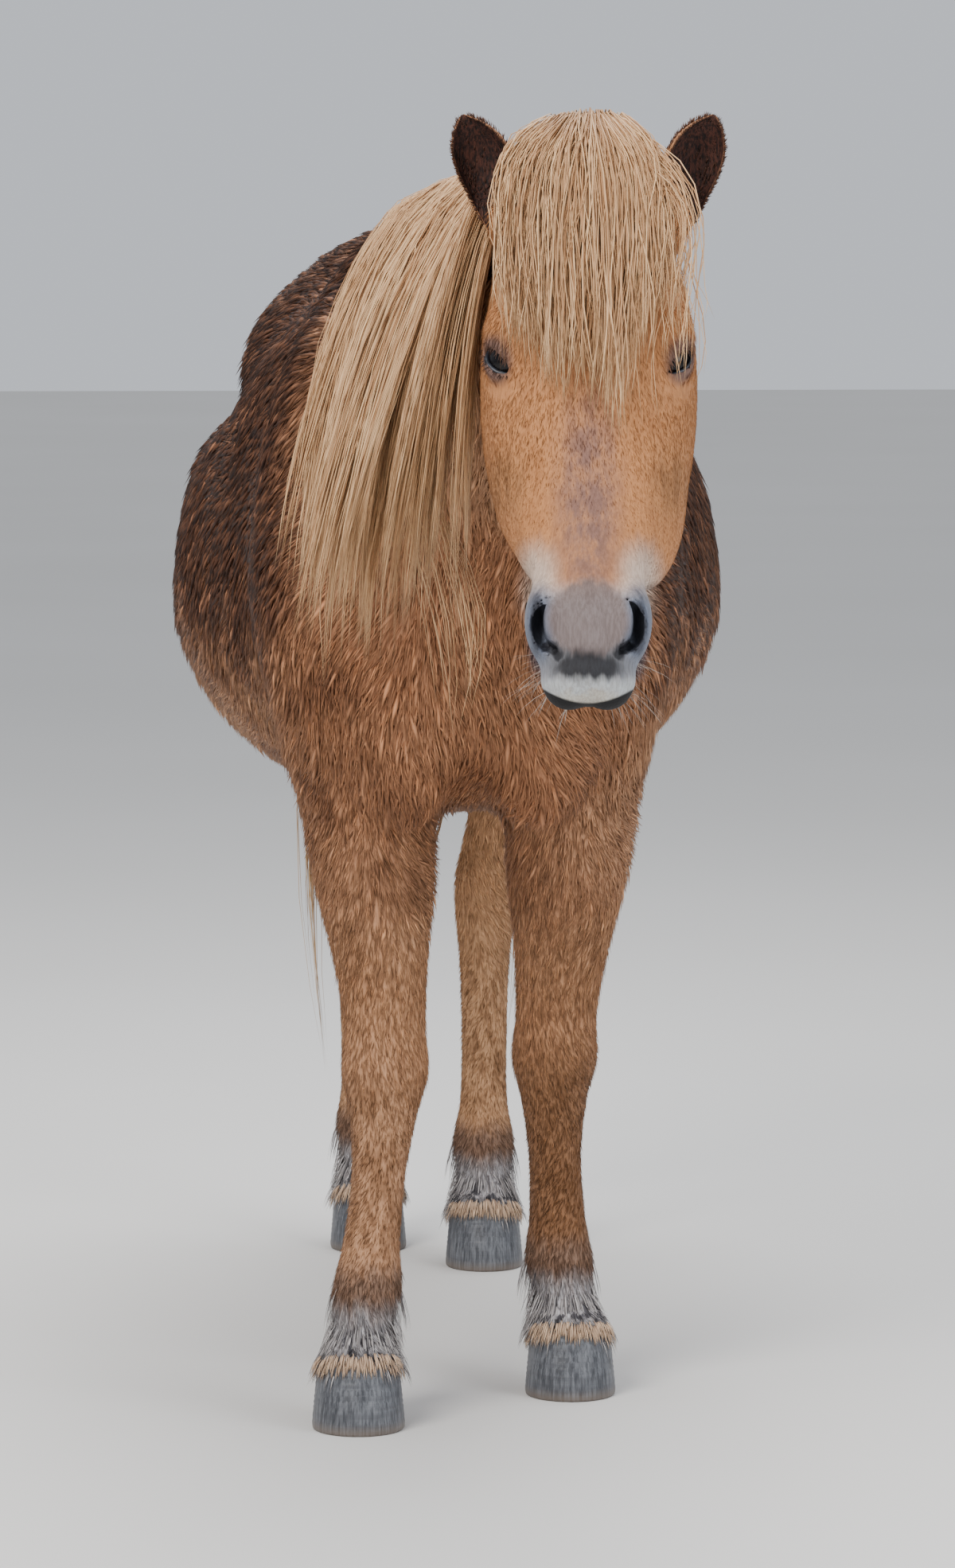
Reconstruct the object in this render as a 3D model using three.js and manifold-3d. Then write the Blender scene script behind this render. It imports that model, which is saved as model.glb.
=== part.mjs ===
// A standing Icelandic horse in its winter coat, as a still life-size model, in millimetres.
// It faces -Y, its left side is +X and +Z is up. The outer surface is the lie of the coat.
// The body is one smooth field of lofts and ellipsoids, parted by thin cuts into named nodes.
// Mane, forelock, tail and fetlock hair are flat tapered locks that hang down over that field.
import * as THREE from "three";
import { mergeVertices } from "three/addons/utils/BufferGeometryUtils.js";
import Module from "manifold-3d";

const wasm = await Module();
wasm.setup();

// Driving dimensions
const WITHERS_HEIGHT = 1390;
const CROUP_HEIGHT = 1372;
const CHEST_FRONT_Y = -590;
const BUTTOCK_Y = 806;
const BELLY_HALF_WIDTH = 342;
const BELLY_HEIGHT = 640;
const HOOF_HALF_WIDTH = 49;
const CUT_GAP = 0.3;
const FORE_CUT_Z = 664;
const HIND_CUT_Z = 700;
const DOCK_CUT_Y = 812;

// Head placement: poll, downward pitch of the face line and the turn of the head
const POLL = [98, -1030, 1454];
const FACE_PITCH = THREE.MathUtils.degToRad(67);
const HEAD_TURN = THREE.MathUtils.degToRad(3.7);

// Vectors as plain arrays
const add = (a, b, k = 1) => [a[0] + b[0] * k, a[1] + b[1] * k, a[2] + b[2] * k];
const sub = (a, b) => add(a, b, -1);
const dot = (a, b) => a[0] * b[0] + a[1] * b[1] + a[2] * b[2];
const cross = (a, b) => [a[1] * b[2] - a[2] * b[1], a[2] * b[0] - a[0] * b[2], a[0] * b[1] - a[1] * b[0]];
const unit = (a) => add([0, 0, 0], a, 1 / (Math.hypot(...a) || 1));
const lerp = (a, b, t) => a + (b - a) * t;
const clamp = (x, lo, hi) => Math.min(Math.max(x, lo), hi);

// Sizes at one place of a station table: rows of [place, ...sizes], with a smooth curve between them.
function stationAt(rows, place) {
  const t = clamp(place, rows[0][0], rows.at(-1)[0]);
  let i = 0;
  while (i < rows.length - 2 && t > rows[i + 1][0]) i += 1;
  const [before, from, to, after] = [rows[Math.max(i - 1, 0)], rows[i], rows[i + 1], rows[Math.min(i + 2, rows.length - 1)]];
  const span = to[0] - from[0];
  const s = (t - from[0]) / span;
  return from.map((value, c) => {
    const slopeIn = ((to[c] - before[c]) / (to[0] - before[0])) * span;
    const slopeOut = ((after[c] - value) / (after[0] - from[0])) * span;
    const rise = to[c] - value;
    return value + s * (slopeIn + s * (3 * rise - 2 * slopeIn - slopeOut + s * (slopeIn + slopeOut - 2 * rise)));
  });
}

// Signed distance, near the surface, of a body with elliptical sections. A row is
// [place on the axis, side offset, up offset, half width, size above, size below].
function loft({ origin, axis, side, up, rows, ends }) {
  return (p) => {
    const d = sub(p, origin);
    const place = dot(d, axis);
    const [, sideOffset, upOffset, half, above, below] = stationAt(rows, place);
    const a = dot(d, side) - sideOffset;
    const b = dot(d, up) - upOffset;
    const tall = b > 0 ? above : below;
    const past = place < rows[0][0] ? rows[0][0] - place : Math.max(place - rows.at(-1)[0], 0);
    const end = place < rows[0][0] ? ends[0] : ends[1];
    return ellipseDistance([a, b, past], [half, tall, end]);
  };
}

function ellipseDistance(d, r) {
  const q = Math.hypot(d[0] / r[0], d[1] / r[1], d[2] / r[2]);
  const slope = Math.hypot(d[0] / r[0] ** 2, d[1] / r[1] ** 2, d[2] / r[2] ** 2);
  return q < 1e-6 ? -Math.min(...r) : ((q - 1) * q) / slope;
}

// Ellipsoid with its radii along the axes of a frame
const WORLD = [[1, 0, 0], [0, 1, 0], [0, 0, 1]];
function ellipsoid(centre, radii, frame = WORLD) {
  return (p) => {
    const d = sub(p, centre);
    return ellipseDistance(frame.map((direction) => dot(d, direction)), radii);
  };
}

const blend = (a, b, k) => Math.min(a, b) - (Math.max(k - Math.abs(a - b), 0) ** 2 / k) * 0.25;
const bothSides = (make) => [make(-1), make(1)];

// Torso: chest, barrel and croup
const torso = loft({
  origin: [0, 0, 0],
  axis: [0, 1, 0],
  side: [1, 0, 0],
  up: [0, 0, 1],
  ends: [70, 60],
  // [y, x, height of the widest place, half width, size above, size below]
  rows: [
    [CHEST_FRONT_Y + 70, 0, 945, 158, 215, 175],
    [-440, 0, 955, 212, 345, 248],
    [-350, 0, 955, 240, WITHERS_HEIGHT - 970, 265],
    [-250, 0, 950, 264, WITHERS_HEIGHT - 950, 272],
    [-100, 0, 930, 302, 424, 266],
    [50, 0, 915, 332, 405, 268],
    [200, 0, 905, BELLY_HALF_WIDTH, 411, 905 - BELLY_HEIGHT],
    [350, 0, 925, 332, 412, 272],
    [480, 0, 970, 290, CROUP_HEIGHT - 978, 265],
    [600, 0, 1040, 255, CROUP_HEIGHT - 1042, 270],
    [690, 0, 1060, 228, 290, 240],
    [BUTTOCK_Y - 60, 0, 1055, 180, 225, 205],
  ],
});
const shoulders = bothSides((s) => ellipsoid([s * 150, -410, 985], [92, 150, 270]));
const pectorals = bothSides((s) => ellipsoid([s * 78, -500, 835], [82, 88, 150]));
const haunches = bothSides((s) => ellipsoid([s * 150, 600, 980], [112, 190, 250]));
const stifles = bothSides((s) => ellipsoid([s * 178, 470, 840], [70, 110, 120]));

// Legs: the centre line passes through named joints, and girths follow the height
const FORE_GIRTHS = [
  // [height, half width, size in front, size behind]
  [58, 51, 50, 50],
  [80, 47, 46, 47],
  [112, 37, 36, 40],
  [155, 43, 41, 52],
  [205, 37, 35, 45],
  [280, 35, 35, 42],
  [350, 43, 42, 46],
  [400, 54, 51, 51],
  [455, 52, 50, 54],
  [530, 60, 58, 66],
  [620, 76, 78, 90],
  [720, 86, 100, 112],
  [800, 90, 125, 130],
  [900, 84, 135, 130],
];
const HIND_GIRTHS = [
  [58, 49, 48, 49],
  [80, 45, 44, 46],
  [112, 36, 35, 40],
  [155, 43, 41, 53],
  [210, 35, 34, 46],
  [300, 34, 34, 46],
  [400, 38, 38, 52],
  [450, 44, 44, 56],
  [500, 47, 51, 62],
  [545, 43, 50, 72],
  [600, 45, 52, 62],
  [680, 62, 80, 76],
  [780, 84, 125, 112],
  [880, 100, 165, 150],
  [970, 104, 175, 170],
];

// joints: rows of [height, x, y] from the hoof to the elbow or hip
function leg(joints, girths) {
  const rows = girths.map(([height, half, front, back]) => {
    const [, x, y] = stationAt(joints, height);
    return [height, x, -y, half, front, back];
  });
  return loft({ origin: [0, 0, 0], axis: [0, 0, 1], side: [1, 0, 0], up: [0, -1, 0], rows, ends: [30, 130] });
}

const LEGS = {
  fore_right: {
    girths: FORE_GIRTHS,
    joints: [[30, -131, -497], [70, -129, -488], [155, -118, -462], [400, -96, -428], [620, -107, -392], [800, -122, -372], [900, -122, -385]],
  },
  fore_left: {
    girths: FORE_GIRTHS,
    joints: [[30, 128, -305], [70, 125, -296], [155, 114, -268], [400, 105, -318], [620, 117, -362], [800, 124, -372], [900, 122, -385]],
  },
  hind_left: {
    girths: HIND_GIRTHS,
    joints: [[30, 66, 567], [70, 66, 577], [155, 67, 612], [300, 70, 650], [500, 76, 692], [640, 100, 668], [780, 128, 620], [970, 140, 600]],
  },
  hind_right: {
    girths: HIND_GIRTHS,
    joints: [[30, -80, 712], [70, -81, 722], [155, -83, 758], [300, -86, 772], [500, -92, 784], [640, -106, 720], [780, -128, 640], [970, -140, 600]],
  },
};
for (const one of Object.values(LEGS)) one.field = leg(one.joints, one.girths);

// Neck: from between the shoulders to the poll, bent a little to the horse's left
const NECK_BASE = [0, -380, 1150];
const NECK_TOP = [92, -960, 1330];
const NECK_AXIS = unit([0, NECK_TOP[1] - NECK_BASE[1], NECK_TOP[2] - NECK_BASE[2]]);
const NECK_UP = cross([1, 0, 0], NECK_AXIS).map((c) => -c);
const NECK_LENGTH = dot(sub(NECK_TOP, NECK_BASE), NECK_AXIS);
const NECK_ROWS = [
  // [place from the base, side, up, half width, size to the crest, size to the throat]
  [0, 0, 0, 168, 225, 260],
  [120, 8, 0, 148, 222, 238],
  [240, 24, 0, 126, 208, 196],
  [360, 46, 0, 106, 186, 156],
  [480, 70, 0, 90, 160, 128],
  [NECK_LENGTH, NECK_TOP[0], 0, 80, 124, 118],
];
const neck = loft({ origin: NECK_BASE, axis: NECK_AXIS, side: [1, 0, 0], up: NECK_UP, ends: [120, 60], rows: NECK_ROWS });

// Head frame: the side towards the horse's left, up out of the face, and along the face to the lips
const HEADING = [-Math.sin(HEAD_TURN), -Math.cos(HEAD_TURN), 0];
const HEAD_SIDE = cross([0, 0, 1], HEADING);
const HEAD_ALONG = unit(add(add([0, 0, 0], HEADING, Math.cos(FACE_PITCH)), [0, 0, -1], Math.sin(FACE_PITCH)));
const HEAD_UP = cross(HEAD_ALONG, HEAD_SIDE);
const HEAD_FRAME = [HEAD_SIDE, HEAD_UP, HEAD_ALONG];
const onHead = (side, up, along) => add(add(add(POLL, HEAD_SIDE, side), HEAD_UP, up), HEAD_ALONG, along);
const headPair = (side, up, along, radii) =>
  bothSides((s) => ellipsoid(onHead(s * side, up, along), radii, HEAD_FRAME));

const EYE_RADIUS = 23;
const EYE_AT = { side: 82, up: -48, along: 216 };
const EYE_LOOK = [0.66, 0.7, 0.24];
const EYE_SLANT = [0.6, -0.25, -0.72];
const skull = loft({
  origin: POLL,
  axis: HEAD_ALONG,
  side: HEAD_SIDE,
  up: HEAD_UP,
  ends: [50, 22],
  // [along the face, side, height of the widest place, half width, size above, size below]
  rows: [
    [-10, 0, -70, 70, 64, 80],
    [50, 0, -66, 84, 74, 112],
    [120, 0, -68, 97, 80, 148],
    [190, 0, -74, 102, 84, 160],
    [250, 0, -76, 98, 80, 152],
    [310, 0, -72, 91, 70, 132],
    [370, 0, -66, 80, 58, 104],
    [430, 0, -60, 66, 49, 80],
    [480, 0, -60, 56, 50, 62],
    [525, 0, -64, 55, 46, 52],
    [556, 0, -70, 46, 32, 42],
  ],
});
const cheeks = headPair(74, -132, 232, [40, 84, 150]);
const brows = headPair(88, -38, 196, [25, 28, 42]);
const nostrilFlares = headPair(43, -48, 500, [24, 36, 40]);
const earMounds = headPair(80, -66, 54, [30, 34, 36]);
const chin = ellipsoid(onHead(0, -114, 536), [36, 25, 37], HEAD_FRAME);
const upperLip = ellipsoid(onHead(0, -66, 556), [45, 34, 24], HEAD_FRAME);

function headField(p) {
  let f = skull(p);
  for (const part of cheeks) f = blend(f, part(p), 40);
  for (const part of brows) f = blend(f, part(p), 22);
  for (const part of earMounds) f = blend(f, part(p), 18);
  for (const part of nostrilFlares) f = blend(f, part(p), 16);
  return blend(blend(f, chin(p), 14), upperLip(p), 14);
}

function trunkField(p) {
  let f = torso(p);
  for (const part of [...shoulders, ...haunches]) f = blend(f, part(p), 70);
  for (const part of [...pectorals, ...stifles]) f = blend(f, part(p), 50);
  return blend(f, neck(p), 90);
}

// Tail: the dock leaves the croup and turns down into the core of the hanging hair
const DOCK = [
  // [x, y, z, radius]
  [0, 770, 1262, 46],
  [0, 835, 1256, 42],
  [0, 884, 1205, 38],
  [0, 904, 1120, 36],
  [0, 912, 1000, 40],
  [0, 916, 840, 46],
  [0, 914, 660, 46],
  [0, 908, 480, 36],
  [0, 902, 320, 20],
  [0, 900, 230, 8],
];
const dockAt = (height) => {
  const hanging = DOCK.slice(2).reverse();
  const [z, x, y] = stationAt(hanging.map(([a, b, c]) => [c, a, b]), height);
  return [x, y, z];
};
const dockPieces = DOCK.slice(1).map(([x, y, z, r], i) => {
  const [x0, y0, z0, r0] = DOCK[i];
  const from = [x0, y0, z0];
  const reach = sub([x, y, z], from);
  return (p) => {
    const t = clamp(dot(sub(p, from), reach) / dot(reach, reach), 0, 1);
    return Math.hypot(...sub(p, add(from, reach, t))) - lerp(r0, r, t);
  };
});
const dockField = (p) => dockPieces.reduce((f, piece) => blend(f, piece(p), 14), Infinity);

function gradient(field, p) {
  const step = 0.5;
  return unit(WORLD.map((d) => field(add(p, d, step)) - field(add(p, d, -step))));
}

// Grid lines with their spacing set span by span: a start, then pairs of end and spacing
const COARSENESS = 1.3;
function gridLines(start, ...spans) {
  const line = [start];
  for (const [end, spacing] of spans) {
    const from = line.at(-1);
    const count = Math.ceil((end - from) / (spacing * COARSENESS));
    for (let i = 1; i <= count; i += 1) line.push(lerp(from, end, i / count));
  }
  return line;
}

// Surface of a field inside a grid, as one closed geometry. frame turns the grid's axes.
function surfaceOf(field, origin, frame, lines) {
  const [nx, ny, nz] = lines.map((line) => line.length);
  const at = (i, j, k) => frame.reduce((p, d, axis) => add(p, d, lines[axis][[i, j, k][axis]]), origin);
  const id = (i, j, k) => i + nx * (j + ny * k);
  const value = new Float64Array(nx * ny * nz);
  for (let k = 0; k < nz; k += 1)
    for (let j = 0; j < ny; j += 1)
      for (let i = 0; i < nx; i += 1) {
        const rim = i % (nx - 1) === 0 || j % (ny - 1) === 0 || k % (nz - 1) === 0;
        value[id(i, j, k)] = Math.max(field(at(i, j, k)), rim ? 1 : -Infinity);
      }

  // Where samples inside and outside alternate round a cell side, the surface would touch itself in a line
  const sides = [[[1, 0, 0], [0, 1, 0]], [[0, 1, 0], [0, 0, 1]], [[0, 0, 1], [1, 0, 0]]];
  const unpinch = (i, j, k, [[a, b, c], [d, e, f]]) => {
    const ring = [id(i, j, k), id(i + a, j + b, k + c), id(i + a + d, j + b + e, k + c + f), id(i + d, j + e, k + f)];
    const [first, second, third, fourth] = ring.map((corner) => value[corner] < 0);
    if (first !== third || second !== fourth || first === second) return false;
    const inner = first ? [ring[0], ring[2]] : [ring[1], ring[3]];
    value[value[inner[0]] > value[inner[1]] ? inner[0] : inner[1]] = 0.5;
    return true;
  };
  for (let pinched = true; pinched; ) {
    pinched = false;
    for (let k = 0; k < nz - 1; k += 1)
      for (let j = 0; j < ny - 1; j += 1)
        for (let i = 0; i < nx - 1; i += 1)
          for (const side of sides) pinched = unpinch(i, j, k, side) || pinched;
  }

  const corners = [0, 1, 2, 3, 4, 5, 6, 7].map((c) => [c & 1, (c >> 1) & 1, c >> 2]);
  const edges = corners.flatMap((_, a) => [1, 2, 4].filter((bit) => !(a & bit)).map((bit) => [a, a | bit]));
  const cell = new Int32Array(nx * ny * nz).fill(-1);
  const points = [];
  for (let k = 0; k < nz - 1; k += 1)
    for (let j = 0; j < ny - 1; j += 1)
      for (let i = 0; i < nx - 1; i += 1) {
        const values = corners.map(([a, b, c]) => value[id(i + a, j + b, k + c)]);
        const crossed = edges.filter(([a, b]) => values[a] < 0 !== values[b] < 0);
        if (!crossed.length) continue;
        let centre = [0, 0, 0];
        for (const [a, b] of crossed) {
          const share = values[a] / (values[a] - values[b]);
          const [from, to] = [corners[a], corners[b]].map(([u, v, w]) => at(i + u, j + v, k + w));
          centre = add(centre, add(from, sub(to, from), share), 1 / crossed.length);
        }
        for (let round = 0; round < 2; round += 1) centre = add(centre, gradient(field, centre), -0.8 * field(centre));
        cell[id(i, j, k)] = points.length;
        points.push(centre);
      }

  const index = [];
  const distance = (a, b) => Math.hypot(...sub(points[a], points[b]));
  const quad = (ring, inward) => {
    const [a, b, c, d] = inward ? ring : ring.reverse();
    index.push(...(distance(a, c) < distance(b, d) ? [a, b, c, a, c, d] : [a, b, d, b, c, d]));
  };
  for (let k = 0; k < nz - 1; k += 1)
    for (let j = 0; j < ny - 1; j += 1)
      for (let i = 0; i < nx - 1; i += 1) {
        const inside = value[id(i, j, k)] < 0;
        if (j && k && inside !== value[id(i + 1, j, k)] < 0)
          quad([cell[id(i, j - 1, k - 1)], cell[id(i, j, k - 1)], cell[id(i, j, k)], cell[id(i, j - 1, k)]], inside);
        if (i && k && inside !== value[id(i, j + 1, k)] < 0)
          quad([cell[id(i - 1, j, k - 1)], cell[id(i - 1, j, k)], cell[id(i, j, k)], cell[id(i, j, k - 1)]], inside);
        if (i && j && inside !== value[id(i, j, k + 1)] < 0)
          quad([cell[id(i - 1, j - 1, k)], cell[id(i, j - 1, k)], cell[id(i, j, k)], cell[id(i - 1, j, k)]], inside);
      }
  const geometry = new THREE.BufferGeometry();
  geometry.setAttribute("position", new THREE.Float32BufferAttribute(points.flat(), 3));
  geometry.setIndex(index);
  return geometry;
}

// Geometry to solid and back. A mesh that comes out inside out is turned over.
function solid(geometry) {
  const bare = new THREE.BufferGeometry();
  bare.setAttribute("position", (geometry.index ? geometry.toNonIndexed() : geometry).getAttribute("position"));
  const merged = mergeVertices(bare, 1e-3);
  const vertProperties = merged.attributes.position.array;
  const triVerts = new Uint32Array(merged.index.array);
  const made = new wasm.Manifold(new wasm.Mesh({ numProp: 3, vertProperties, triVerts }));
  if (made.volume() >= 0) return made;
  for (let i = 0; i < triVerts.length; i += 3) [triVerts[i + 1], triVerts[i + 2]] = [triVerts[i + 2], triVerts[i + 1]];
  return new wasm.Manifold(new wasm.Mesh({ numProp: 3, vertProperties, triVerts }));
}
const largest = (shape) => shape.decompose().sort((a, b) => b.volume() - a.volume())[0];

// The outermost closed surface of a shape: small pockets between overlapping locks are filled
function geometryOf(shape) {
  const mesh = shape.getMesh();
  const bare = new THREE.BufferGeometry();
  const position = Float32Array.from({ length: mesh.numVert * 3 }, (_, i) =>
    mesh.vertProperties[Math.floor(i / 3) * mesh.numProp + (i % 3)],
  );
  bare.setAttribute("position", new THREE.BufferAttribute(position, 3));
  bare.setIndex(new THREE.BufferAttribute(mesh.triVerts, 1));
  const merged = mergeVertices(bare, 1e-3);
  const faces = Array.from({ length: merged.index.count / 3 }, (_, i) => merged.index.array.slice(i * 3, i * 3 + 3));
  const index = faces.filter(([a, b, c]) => a !== b && b !== c && c !== a).flatMap((face) => [...face]);
  const at = merged.getAttribute("position").array;
  const parent = Int32Array.from({ length: at.length / 3 }, (_, i) => i);
  const find = (i) => {
    let top = i;
    while (parent[top] !== top) top = parent[top];
    parent[i] = top;
    return top;
  };
  for (let i = 0; i < index.length; i += 3) {
    parent[find(index[i + 1])] = find(index[i]);
    parent[find(index[i + 2])] = find(index[i]);
  }
  const corner = (i) => [at[index[i] * 3], at[index[i] * 3 + 1], at[index[i] * 3 + 2]];
  const volumes = new Map();
  for (let i = 0; i < index.length; i += 3) {
    const piece = find(index[i]);
    const volume = dot(corner(i), cross(corner(i + 1), corner(i + 2))) / 6;
    volumes.set(piece, (volumes.get(piece) ?? 0) + volume);
  }
  const keep = [...volumes].sort((a, b) => b[1] - a[1])[0][0];
  const kept = [];
  for (let i = 0; i < index.length; i += 3)
    if (find(index[i]) === keep) kept.push(index[i], index[i + 1], index[i + 2]);
  merged.setIndex(kept);
  return merged;
}

// Block that fills all that lies further along normal than the point
const BLOCK = 4000;
function beyond(point, normal) {
  const turn = new THREE.Quaternion().setFromUnitVectors(new THREE.Vector3(0, 0, 1), new THREE.Vector3(...unit(normal)));
  const box = new THREE.BoxGeometry(BLOCK, BLOCK, BLOCK);
  box.translate(0, 0, BLOCK / 2);
  box.applyQuaternion(turn);
  box.translate(...point);
  return solid(box);
}
const keepBelow = (shape, point, normal) => shape.subtract(beyond(point, normal));

// A closed oval ball in a frame, for eyes, sockets and nostrils
function ball(centre, radii, frame = HEAD_FRAME, across = 12, down = 8) {
  const geometry = new THREE.SphereGeometry(1, across, down);
  const axes = frame.map((d, i) => new THREE.Vector3(...d).multiplyScalar(radii[i]));
  geometry.applyMatrix4(new THREE.Matrix4().makeBasis(...axes));
  geometry.translate(...centre);
  return solid(geometry);
}

// Rings of points joined into one closed geometry, with a fan at each end
function ringLoft(rings) {
  const across = rings[0].length;
  const points = rings.flat();
  const middle = (ring) => ring.reduce((sum, p) => add(sum, p, 1 / ring.length), [0, 0, 0]);
  const [first, last] = [points.length, points.length + 1];
  points.push(middle(rings[0]), middle(rings.at(-1)));
  const index = [];
  for (let r = 0; r < rings.length - 1; r += 1)
    for (let c = 0; c < across; c += 1) {
      const [a, b] = [r * across + c, r * across + ((c + 1) % across)];
      index.push(a, b, b + across, a, b + across, a + across);
    }
  const top = (rings.length - 1) * across;
  for (let c = 0; c < across; c += 1) {
    const next = (c + 1) % across;
    index.push(first, next, c, last, top + c, top + next);
  }
  const geometry = new THREE.BufferGeometry();
  geometry.setAttribute("position", new THREE.Float32BufferAttribute(points.flat(), 3));
  geometry.setIndex(index);
  return geometry;
}
const ringSolid = (rings) => solid(ringLoft(rings));

// Seeded random numbers from 0 to 1
let seed = 31337;
function random() {
  seed = (seed * 1664525 + 1013904223) % 4294967296;
  return seed / 4294967296;
}
const vary = (amount) => 1 + (random() * 2 - 1) * amount;

// One flat tapered lock: a path that starts inside the flesh, hangs down and stays outside the field.
// course gives the wanted heading at a share of the way; clear keeps the lock off what lies under it.
function lock({ root, heading, length, width, thick, clear, field, course, steps = 7, sink = 20 }) {
  const step = length / steps;
  const rootNormal = gradient(field, root);
  let direction = unit(heading);
  let normal = rootNormal;
  let p = add(root, rootNormal, clear * 0.4);
  const path = [{ p: add(root, rootNormal, -sink), normal }, { p, normal }];
  for (let i = 1; i <= steps; i += 1) {
    const lift = clear * Math.min(1, i / 2);
    const pull = clamp((field(p) - lift) / 60, 0, 0.5);
    const wanted = add(unit(course(i / steps, p)), gradient(field, p), -pull);
    direction = unit(add(add([0, 0, 0], direction, 0.4), wanted, 0.6));
    p = add(p, direction, step);
    for (let round = 0; round < 3; round += 1) {
      const gap = lift - field(p);
      if (gap > 0) p = add(p, gradient(field, p), gap);
    }
    normal = unit(add(normal, gradient(field, p), 1.2));
    path.push({ p, normal });
  }
  const last = path.length - 1;
  const rings = [];
  let across = null;
  for (let i = last; i >= 0; i -= 1) {
    const ahead = unit(sub(path[Math.min(i + 1, last)].p, path[Math.max(i, 1) - (i === last ? 1 : 0)].p));
    const forward = i === 0 ? rootNormal : i === 1 ? unit(add(ahead, rootNormal, 0.8)) : ahead;
    if (i > 0) across = unit(cross(ahead, path[i].normal));
    const outward = unit(cross(across, forward));
    const share = i / last;
    const wide = i === last ? 0.8 : (width / 2) * Math.min(1, 0.55 + share * 1.8) * (1 - share ** 2.4) ** 0.8;
    const deep = i === last ? 0.5 : (thick / 2) * (1 - 0.6 * share);
    rings.unshift([
      add(path[i].p, across, wide),
      add(path[i].p, outward, deep),
      add(path[i].p, across, -wide),
      add(path[i].p, outward, -deep),
    ]);
  }
  return ringSolid(rings);
}

const union = (parts) => wasm.Manifold.union(parts);

// Thin plane cuts part the trunk; a grid reaches a margin past each cut before it is trimmed
const NECK_CUT = { point: [0, -430, 1170], normal: unit([0, -0.84, 0.54]) };
const HEAD_CUT = { point: onHead(0, -92, 0), normal: unit(add(add([0, 0, 0], HEAD_UP, 1), HEAD_ALONG, 0.72)) };
const halfGap = (cut, sign) => add(cut.point, cut.normal, (sign * CUT_GAP) / 2);
const opposite = (v) => add([0, 0, 0], v, -1);
const within = (field, limits) => (p) => Math.max(field(p), ...limits.map((limit) => limit(p)));
const sideOf = ({ point, normal }, sign, margin) => (p) => sign * dot(sub(p, point), normal) - margin;
const MARGIN = 70;
const shapes = {};

const trunkAndDock = (p) => (p[1] > 640 ? blend(trunkField(p), dockField(p), 34) : trunkField(p));
const wholeField = (p) => {
  const legs = Math.min(...Object.values(LEGS).map((one) => one.field(p)));
  const trunk = p[2] < 1250 ? blend(trunkAndDock(p), legs, 46) : trunkAndDock(p);
  return p[1] < -700 ? blend(trunk, headField(p), 34) : trunk;
};

const torsoSurface = surfaceOf(
  within(wholeField, [
    sideOf(NECK_CUT, 1, MARGIN),
    (p) => p[1] - DOCK_CUT_Y - MARGIN,
    (p) => BELLY_HEIGHT - MARGIN - p[2],
  ]),
  [0, 0, 0],
  WORLD,
  [gridLines(-400, [400, 44]), gridLines(-700, [-400, 46], [420, 68], [900, 46]), gridLines(560, [1440, 46])],
);
let torsoShape = solid(torsoSurface);
torsoShape = keepBelow(torsoShape, halfGap(NECK_CUT, -1), NECK_CUT.normal);
torsoShape = keepBelow(torsoShape, [0, DOCK_CUT_Y, 0], [0, 1, 0]);

// Legs from the coronet to the height of the belly, and their hooves
const HOOF_TILT = 0.26;
const INNER_X = 6;
const OUTER_X = 300;
const LEG_REACH_Y = { fore: [-650, -200], hind: [485, 920] };
for (const [name, one] of Object.entries(LEGS)) {
  const [end, side] = name.split("_");
  const sign = side === "left" ? 1 : -1;
  const cutZ = end === "fore" ? FORE_CUT_Z : HIND_CUT_Z;
  const [front, back] = LEG_REACH_Y[end];
  const [footZ, footX, footY] = one.joints[1];
  const coronet = { point: [footX, footY, footZ], normal: unit([0, HOOF_TILT, 1]) };
  const surface = surfaceOf(
    within(wholeField, [
      sideOf({ point: [0, 0, cutZ], normal: [0, 0, 1] }, 1, MARGIN),
      sideOf(coronet, -1, 32),
      (p) => INNER_X - sign * p[0],
      (p) => Math.max(front - p[1], p[1] - back),
    ]),
    [0, 0, 0],
    WORLD,
    [
      sign > 0 ? gridLines(-40, [OUTER_X, 25]) : gridLines(-OUTER_X, [40, 25]),
      gridLines(front - 45, [back + 45, 27]),
      gridLines(-20, [220, 34], [cutZ + MARGIN + 90, 52]),
    ],
  );
  let shape = solid(surface);
  shape = keepBelow(shape, [0, 0, cutZ - CUT_GAP / 2], [0, 0, 1]);
  shape = keepBelow(shape, halfGap(coronet, 1), opposite(coronet.normal));
  shapes[name] = largest(shape);

  const space = new THREE.BoxGeometry(OUTER_X, back - front, cutZ + CUT_GAP / 2);
  space.translate(sign * (INNER_X + OUTER_X / 2), (front + back) / 2, (cutZ + CUT_GAP / 2) / 2);
  torsoShape = torsoShape.subtract(solid(space));

  const size = end === "fore" ? 1 : 0.95;
  const hoofRing = (height, wide, long, set) =>
    Array.from({ length: 18 }, (_, i) => {
      const angle = (i / 18) * 2 * Math.PI;
      const y = -Math.sin(angle) * long * size - set;
      return [footX + Math.cos(angle) * wide * size, footY + y, height - (height > 20 ? y * HOOF_TILT : 0)];
    });
  shapes[`hoof_${name}`] = ringSolid([
    hoofRing(0, HOOF_HALF_WIDTH + 3, 57, 6),
    hoofRing(5, HOOF_HALF_WIDTH + 4, 58, 6),
    hoofRing(footZ - CUT_GAP / 2 / coronet.normal[2], HOOF_HALF_WIDTH - 2, 47, 0),
  ]);
}
shapes.torso = torsoShape;

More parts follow.
